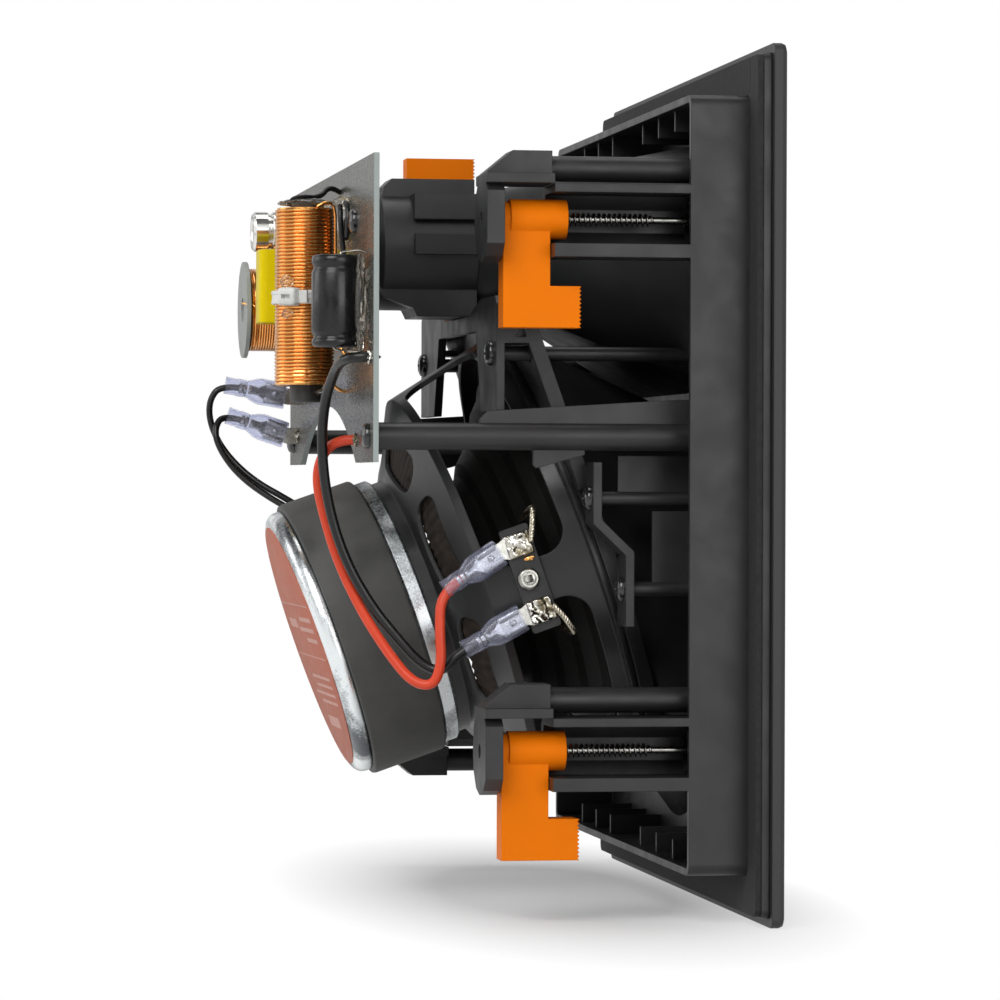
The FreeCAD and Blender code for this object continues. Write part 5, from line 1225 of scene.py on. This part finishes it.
@dataclass
class Crossover(Assembly):
    """What stands on the crossover board: capacitors, tie, wire ends, glue and solder."""

    board: float = -128.3
    front: float = -126.4
    coil: Pair = (-142.2, -42)
    film: Point = (24.9, 15, 10)
    film_rows: Table = ((60, 1.2), (59, 1.2), (59, 0), (59.3, -0.4), (85.7, -0.4), (86, 0), (86, 1.2), (85, 1.2))
    electrolytic: Pair = (-138.7, -105)
    can_rows: Table = (
        (47, 0), (47, 6.8), (47.2, 7.5), (47.7, 8.05), (48.5, 8.3), (49.1, 8.3), (49.7, 8.1), (50.2, 7.7), (50.7, 7.6),
        (51.2, 7.7), (51.7, 8.1), (52.4, 8.4), (72.4, 8.4), (73.1, 8.15), (73.7, 7.8), (74.3, 7.65), (74.9, 7.8),
        (75.4, 8.15), (76.1, 8.35), (77.4, 8.35), (78.2, 8), (78.65, 7.4), (78.7, 6.8), (78.4, 6.3), (78.2, 0))
    lead_wire: float = 0.38
    can_leads: Sequence[Points] = (
        ((-136.9, -105, 78.1), (-136.7, -105.2, 79.6), (-134, -106.2, 80), (-130.9, -107, 80.3),
         (-128.2, -107.4, 79.4)),
        ((-139.4, -105.4, 47.2), (-138.6, -106, 46.2), (-134.8, -106.8, 45.8), (-130.6, -107.4, 45.4),
         (-128.2, -107.6, 45)))
    tie_span: tuple[float, float, float, float] = (64, 68.8, 10.8, 11.85)
    tie_chamfer: float = 0.3
    tie_groove: Point = (1.2, 1.4, 0.25)
    tie_angle: float = -32
    tie_head: Table = (
        (11.1, 7.3, 6.4, 1.3), (14.5, 7.3, 6.4, 1.3), (15.2, 6.9, 6, 1.5), (15.6, 6, 5.2, 1.6), (15.7, 4.6, 3, 0.6),
        (15.7, 3.4, 1.6, 0.3), (13.9, 3.2, 1.4, 0.3))
    tie_tail: Table = ((3.2, 12), (4.8, 12.3), (6.4, 13), (7.6, 13.8))
    tail_half: Pair = (0.5, 2.2)
    coil_ends: Sequence[tuple[Points, float]] = (
        (((-139, -51.6, 98.4), (-136.2, -51.6, 99.8), (-133.4, -50.2, 99.4), (-132.2, -48.8, 96), (-132, -48.4, 88),
         (-132, -48.4, 70), (-132, -49.2, 58), (-131.4, -51.8, 51), (-129.8, -54.2, 47), (-128, -54.6, 45.6)), 0.62),
        (((-133.2, -49.6, 35.6), (-131.4, -49.4, 34.2), (-129.6, -49, 33.2), (-128, -48.8, 33)), 0.62),
        (((-156.6, 34.6, 67.4), (-155.9, 32.2, 67.2), (-154.4, 30.2, 66.6), (-152.4, 29.2, 66), (-150.6, 29.4, 65)),
         0.46))
    jumper_wire: float = 0.95
    jumpers: Sequence[Points] = (
        ((-148.4, -45.6, 99.4), (-146.2, -44.4, 101.6), (-142.4, -42.6, 102.3), (-138.6, -40.6, 102.4),
         (-135.6, -38.2, 103.6), (-133.4, -36.2, 105.6), (-131.2, -34.6, 105.9), (-128.2, -33.4, 104.6)),
        ((-131.4, -57.6, 98.6), (-131.6, -59.4, 95), (-131.2, -60, 88), (-130.4, -60.2, 80), (-130, -60.4, 66),
         (-129.8, -60.6, 52), (-128.2, -60.6, 47.8)),
        ((-129.6, -57, 99.6), (-129.4, -60.6, 98.4), (-129.3, -62.6, 95.2), (-129.4, -62.9, 91.2), (-129.6, -61.4, 88),
         (-129.6, -59.2, 87), (-129.5, -57.4, 88.8), (-129.4, -56.6, 92.4), (-128.2, -56.4, 95)))
    beads: Sequence[tuple[Point, Point]] = (
        ((-141.4, -42, 100), (9.6, 9.6, 1.5)),
        ((-130.6, -55.6, 99.8), (3, 2.4, 2.1)),
        ((-149.6, -50.8, 71.6), (2.3, 1.7, 2.4)),
        ((-149.4, -50.8, 60.5), (1.9, 1.5, 1.9)),
        ((-131, -109.4, 62.8), (2.6, 2.5, 15)),
        ((-131.4, -99.6, 62), (2.8, 2.6, 14.2)),
        ((-136.6, -43, 33), (4.4, 6.6, 1.6)),
        ((-131.2, 10, 58.4), (3, 7, 1.4)),
        ((-131, 39, 86.2), (2.6, 6, 1.6)),
        ((-130.6, 28.6, 54), (2.4, 3.4, 5.6)))
    lead_joints: Points = ((-80, 15.6, 2.2), (-117, 43.5, 2.2), (98, 34, 2.6), (98, 18.8, 2.6))
    front_joints: Table = (
        (-80, 15.6), (-117, 43.5), (-107.4, 79.4), (-107.6, 45), (-54.6, 45.6), (-48.8, 33), (-60.6, 47.8),
        (-33.4, 104.6), (-56.4, 95), (6, 62), (14, 84), (37, 94.3), (43, 94.3), (36, 56), (54, 74), (98, 31.5),
        (98, 36.5), (98, 16.3), (98, 21.3))
    cone: Table = ((0, 1.7), (0.25, 1.3), (0.8, 0.7), (1.5, 0.42), (1.9, 0))

    def build(self) -> None:
        """Builds all of it."""
        self.film_block()
        self.can()
        self.tie()
        self.wires()
        self.glue()
        self.solder()

    def film_block(self) -> None:
        """Builds the film capacitor: a wrapped block with recessed resin ends."""
        mesh = bmesh.new()
        deep, wide, across = self.film
        skin(mesh, [[millimetres(self.board - deep / 2 + x, across + y, up) for x, y in
                     rounded_outline(deep - 2 * inset, wide - 2 * inset, 3.2)] for up, inset in self.film_rows])
        self.maker.place("wrapped_film_capacitor", mesh, "yellow_film", replaces=["film_capacitor"])

    def can(self) -> None:
        """Builds the electrolytic capacitor, grooved near both ends, with its two leads."""
        mesh = bmesh.new()
        lathe(mesh, millimetres(*self.electrolytic, 0), UP, self.can_rows, 72)
        self.maker.place("grooved_electrolytic", mesh, "black_wrap", replaces=["electrolytic_capacitor"])
        mesh = bmesh.new()
        for route in self.can_leads:
            wire(mesh, route, self.lead_wire)
        self.maker.place("electrolytic_leads", mesh, "solder", slot="nickel")

    def tie(self) -> None:
        """Builds the cable tie: a ribbed band, a head with its slot and a cut tail."""
        low, high, inner, outer = self.tie_span
        cut, (near, far, deep) = self.tie_chamfer, self.tie_groove
        mesh = bmesh.new()
        axis = millimetres(*self.coil, 0)
        lathe(mesh, axis, UP, [
            (low + cut, inner), (low, inner + cut), (low, outer - cut), (low + cut, outer), (low + near, outer),
            (low + far, outer - deep), (high - far, outer - deep), (high - near, outer), (high - cut, outer),
            (high, outer - cut), (high, inner + cut), (high - cut, inner), (low + cut, inner)], 96)
        frame = Matrix.Translation(axis) @ Matrix.Rotation(math.radians(self.tie_angle), 4, "Z")
        frame @= Matrix.Translation(millimetres(0, 0, (low + high) / 2))
        skin(mesh, [[frame @ millimetres(across, -out, up) for across, up in rounded_outline(wide, tall, corner)]
                    for out, wide, tall, corner in self.tie_head])
        thick, wide = self.tail_half
        skin(mesh, [[frame @ millimetres(along, -out - y, z) for y, z in (
            (-thick, -wide), (thick, -wide), (thick, wide), (-thick, wide))] for along, out in self.tie_tail])
        self.maker.place("ratchet_cable_tie", mesh, "white_nylon", replaces=["cable_tie"])

    def wires(self) -> None:
        """Builds the coils' wire ends and the short black jumpers."""
        mesh = bmesh.new()
        for route, radius in self.coil_ends:
            wire(mesh, route, radius, 10)
        self.maker.place("coil_wire_ends", mesh, "enamelled_copper")
        mesh = bmesh.new()
        for route in self.jumpers:
            wire(mesh, route, self.jumper_wire, 12)
        self.maker.place("board_jumpers", mesh, "black_pvc")

    def glue(self) -> None:
        """Builds the clear hot glue round the coil's ends, the tie and the capacitor."""
        mesh = bmesh.new()
        for number, (spot, half) in enumerate(self.beads):
            blob(mesh, spot, half, 1.3 + number * 2.7, 0.4)
        self.maker.place("hot_glue_beads", mesh, "hot_melt", slot="clear_sleeve")

    def solder(self) -> None:
        """Builds the joints of the leads, and the rows of joints on the board's front."""
        mesh = bmesh.new()
        for number, (across, up, size) in enumerate(self.lead_joints):
            blob(mesh, (self.board - 0.3, across, up), (1.3, size, size * 0.9), 4.2 + number, 0.45)
        for across, up in self.front_joints:
            lathe(mesh, millimetres(self.front, across, up), AHEAD, self.cone, 16)
        self.maker.place("board_solder_joints", mesh, "solder", slot="nickel")


@dataclass
class Windings(Assembly):
    """The two crossover coils, wound turn by turn."""

    main_wire: float = 0.62
    main_axis: float = -142.2
    main_radius: float = 10.7
    second_wire: float = 0.46
    spacing: float = 2.06
    bore: float = 0.55
    sunk: float = 0.3
    steps: int = 36

    def build(self) -> None:
        """Builds both windings."""
        low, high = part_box("main_coil_winding")
        foot = Vector((self.main_axis * MM, (low[1] + high[1]) / 2, low[2]))
        self.wound("main_coil_turns", "main_coil_winding", foot, UP, self.main_radius * MM, high[2] - low[2],
                   self.main_wire * MM)
        low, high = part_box("second_coil_winding")
        foot = Vector((low[0], (low[1] + high[1]) / 2, (low[2] + high[2]) / 2))
        self.wound("second_coil_turns", "second_coil_winding", foot, AHEAD, (high[1] - low[1]) / 2, high[0] - low[0],
                   self.second_wire * MM)

    def wound(self, name: str, node: str, foot: Vector, axis: Vector, radius: float, length: float,
              thick: float) -> None:
        """Builds one winding as a helix of round wire over a plain core.

        Args:
            name: the piece's name.
            node: the solid that it replaces.
            foot: the middle of its lower end.
            axis: the direction in which it is wound.
            radius: its outer radius in metres.
            length: its length in metres.
            thick: the wire's radius in metres.
        """
        pitch = thick * self.spacing
        count = (length - 2 * thick) / pitch
        centre, middle = foot + axis * thick, radius - thick
        side, other = ring_frame(axis)
        mesh = bmesh.new()
        shares = [step / self.steps for step in range(int(count * self.steps) + 1)]
        tube(mesh, [centre + axis * (pitch * share) + spoke(side, other, 2 * math.pi * share, middle)
                    for share in shares], thick)
        bore, core = middle * self.bore, middle - thick * self.sunk
        lathe(mesh, centre, axis, [(0, bore), (0, core), (pitch * count, core), (pitch * count, bore)], self.steps, 1.0)
        self.maker.place(name, mesh, "enamelled_copper", replaces=[node])


@dataclass
class Leads(Assembly):
    """The free leads, close to the routes that their solids follow."""

    thick: float = 3.6
    thin: float = 2.5
    red: Points = (
        (-90.4, -82.3, -32), (-98.7, -82.3, -37.6), (-99.4, -84.5, -51), (-98.8, -86, -62.4), (-101.6, -85, -70.4),
        (-108.9, -82.5, -68.9), (-116.4, -77.5, -59), (-124.9, -73, -45.2), (-132.9, -69, -28.2), (-138.1, -68, -11.4),
        (-141.2, -69.5, 2.2), (-139.2, -73, 11.2), (-134.2, -78, 15.6), (-128.4, -80, 15.6))
    black: Points = (
        (-83.1, -82.3, -53.7), (-91.9, -82.3, -58.5), (-98.2, -80.2, -66), (-105.6, -77.5, -62.4),
        (-113, -75.5, -53.8), (-122.6, -75, -42), (-131.7, -74.5, -25.9), (-137.8, -75, -6.5), (-140.4, -78, 13.1),
        (-140.3, -86, 28.7), (-138.5, -98, 38.4), (-137.4, -109.5, 42.3), (-133.8, -117, 43.5), (-128.4, -117, 43.5))
    first_input: Points = (
        (-148.3, 98, 36.8), (-158.1, 98, 38.5), (-162.9, 98.5, 32.5), (-162.5, 98.5, 23.2), (-157.3, 96, 12.4),
        (-146.9, 91, 1.7), (-132, 86, -6.7), (-111.7, 84, -19.4), (-90.5, 86, -35.5), (-66, 94, -51),
        (-43, 102, -58.5), (-22.4, 105, -60))
    second_input: Points = (
        (-147.7, 98, 23.9), (-157.1, 98, 27.1), (-161.3, 94, 21.6), (-159.5, 92.5, 13.6), (-152, 90.5, 3.2),
        (-138.9, 86, -6.4), (-119.8, 81, -16.3), (-98.6, 79.5, -30.8), (-78, 83.5, -45.5), (-58, 92, -57),
        (-39.5, 100.5, -64.5), (-22.5, 105, -67))

    def build(self) -> None:
        """Builds the four leads."""
        self.lead("red_woofer_lead", self.red, self.thick * MM, 0.152, "red_pvc", "red_lead")
        self.lead("black_woofer_lead", self.black, self.thick * MM, 0.17, "black_pvc", "black_lead")
        self.lead("first_input_lead", self.first_input, self.thin * MM, 0.196, "black_pvc", "input_lead_1")
        self.lead("second_input_lead", self.second_input, self.thin * MM, 0.190, "black_pvc", "input_lead_2")

    def lead(self, name: str, route: Points, diameter: float, length: float, finish: str, node: str) -> None:
        """Builds one lead as a smooth line with the route's points as its control points.

        Args:
            name: the piece's name.
            route: its points in millimetres.
            diameter: the lead's diameter in metres.
            length: the lead's real length between its two joints, in metres; not used.
            finish: the finish of its skin.
            node: the solid that it replaces.
        """
        curve = bpy.data.curves.new(name, "CURVE")
        curve.dimensions = "3D"
        curve.bevel_depth = diameter / 2
        curve.bevel_resolution = 5
        curve.resolution_u = 16
        curve.use_fill_caps = True
        spline = curve.splines.new("NURBS")
        spline.points.add(len(route) - 1)
        for spot, point in zip(spline.points, route):
            spot.co = (*millimetres(*point), 1.0)
        spline.order_u = 3
        spline.use_endpoint_u = True
        spline.use_smooth = True
        piece = added(name, curve)
        self.maker.settle(piece, finish, replaces=[node])
        tuple(millimetres(*route[0]))


@dataclass
class Studio:
    """Floor, backdrop, lamps and the camera that the photograph was taken with."""

    eye: Point = (-0.33015, -1.66211, -0.00065)
    yaw: float = math.radians(9.073)
    pitch: float = math.radians(-0.165)
    roll: float = math.radians(0.188)
    sensor: float = 36.0
    focal_widths: float = 4.571734
    floor: float = -0.1502
    flat: float = 2.2
    bend: float = 0.8
    wall: float = 3.2
    sky: float = 0.14
    shadow_middle: float = -0.045
    shadow_across: float = 0.13
    shadow: Sequence[float] = (0.3, 1.0, 0.04, 0.1)
    # Levels and scale of the patches in which reflections see the glow: painted reflection
    painted_reflection_levels: Sequence[float] = (0.15, 1.0, 0.42, 0.56)
    painted_reflection_scale: float = 0.85

    def build(self) -> None:
        """Sets the stage."""
        self.camera()
        self.backdrop()
        for name, place, target, size, power in (
                ("key", (-1.0, -1.4, 1.3), (-0.05, 0, 0), 1.2, 24), ("fill", (0.7, -2.0, 0.3), (-0.05, 0, 0), 1.2, 11),
                ("rear", (-1.8, 0.6, 0.6), (-0.1, 0, 0), 1.0, 6), ("top", (0.0, 0.3, 1.9), (-0.05, 0, 0), 1.0, 8)):
            self.lamp(name, place, target, size, power)
        self.world()
        bpy.context.scene.view_settings.view_transform = "Standard"

    def camera(self) -> None:
        """Places the camera by its measured position and angles."""
        level_share = math.cos(self.pitch)
        ahead = Vector((math.sin(self.yaw) * level_share, math.cos(self.yaw) * level_share, math.sin(self.pitch)))
        level = Vector((math.cos(self.yaw), -math.sin(self.yaw), 0))
        above = level.cross(ahead)
        right, upright = spoke(level, above, self.roll, 1), spoke(above, level, -self.roll, 1)
        lens = bpy.data.cameras.new("camera")
        lens.lens = self.focal_widths * self.sensor
        lens.sensor_width = self.sensor
        lens.clip_start = 0.05
        item = added("camera", lens)
        turn = Matrix((right, upright, -ahead)).transposed()
        item.matrix_world = Matrix.Translation(Vector(self.eye)) @ turn.to_4x4()
        bpy.context.scene.camera = item

    def backdrop(self) -> None:
        """Builds a floor that curves up into a wall on every side."""
        mesh = bmesh.new()
        curve = [(self.bend * (1 - math.cos(turn)), self.flat + self.bend * math.sin(turn)) for turn in turns(48)[:13]]
        profile = [(0, 0), *curve, (self.wall, self.flat + self.bend)]
        lathe(mesh, Vector((-0.05, 0, self.floor)), UP, profile, 96, 1.0)
        item = shaped("backdrop", mesh)
        item.data.materials.append(self.paper())

    def paper(self) -> bpy.types.Material:
        """White paper that glows where it is seen, and that keeps a faint shadow near the object. To reflections it
        glows only in patches, a painted reflection that lays light and dark streaks on shiny parts.

        Returns:
            The material.
        """
        shader = Shader("backdrop_paper")
        along, across, up = shader.split()
        off, rise = along - self.shadow_middle, up - self.floor
        far = (off * off + across * across * self.shadow_across + rise * rise).math("SQRT")
        path = shader.node("ShaderNodeLightPath", {}, {})
        seen, through, gloss = (Value(shader, path.outputs[f"Is {ray} Ray"]) for ray in (
            "Camera", "Transmission", "Glossy"))
        # Painted reflection: reflection rays see the glow only in these patches
        patches = shader.level(shader.scatter(Noise.GRAIN, self.painted_reflection_scale, Detail=1.0), *self.painted_reflection_levels)
        seen = seen.math("MAXIMUM", through).math("MAXIMUM", gloss * patches)
        glow = shader.node("ShaderNodeEmission", {}, {"Color": (1.0, 1.0, 1.0), "Strength": 1.0})
        matt = shader.node("ShaderNodeBsdfPrincipled", {}, {"Base Color": (0.7, 0.7, 0.7), "Roughness": 0.8})
        mix = shader.node("ShaderNodeMixShader", {}, {
            0: seen * shader.level(far, *self.shadow), 1: matt.outputs[0], 2: glow.outputs[0]})
        shader.node("ShaderNodeOutputMaterial", {}, {"Surface": mix.outputs[0]})
        return shader.owner

    def lamp(self, name: str, place: Point, target: Point, size: float, power: float) -> None:
        """Adds one large soft square lamp.

        Args:
            name: the lamp's name.
            place: where it hangs.
            target: what it is aimed at.
            size: the length of its side.
            power: its power in watts.
        """
        light = bpy.data.lights.new(name, "AREA")
        light.size = size
        light.energy = power
        item = added(name, light)
        item.location = place
        item.rotation_euler = (Vector(target) - Vector(place)).to_track_quat("-Z", "Y").to_euler()

    def world(self) -> None:
        """Makes an even sky that is white where it is seen and gentle where it lights."""
        shader = Shader("studio", world=True)
        path = shader.node("ShaderNodeLightPath", {}, {})
        light, seen = (shader.node("ShaderNodeBackground", {}, {"Color": (1.0, 1.0, 1.0), "Strength": strength})
                       for strength in (self.sky, 1.0))
        mix = shader.node("ShaderNodeMixShader", {}, {
            0: path.outputs["Is Camera Ray"], 1: light.outputs[0], 2: seen.outputs[0]})
        shader.node("ShaderNodeOutputWorld", {}, {0: mix.outputs[0]})
        bpy.context.scene.world = shader.owner


def main() -> None:
    """Builds the dressed speaker round its solids."""
    logging.basicConfig(level=logging.INFO)
    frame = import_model()
    maker = Maker(frame)
    Studio().build()
    for part in (Leads, ClampScrews, Fixings, Motor, Label, Terminals, Windings, Crossover):
        part(maker).build()


if __name__ == "__main__":
    main()
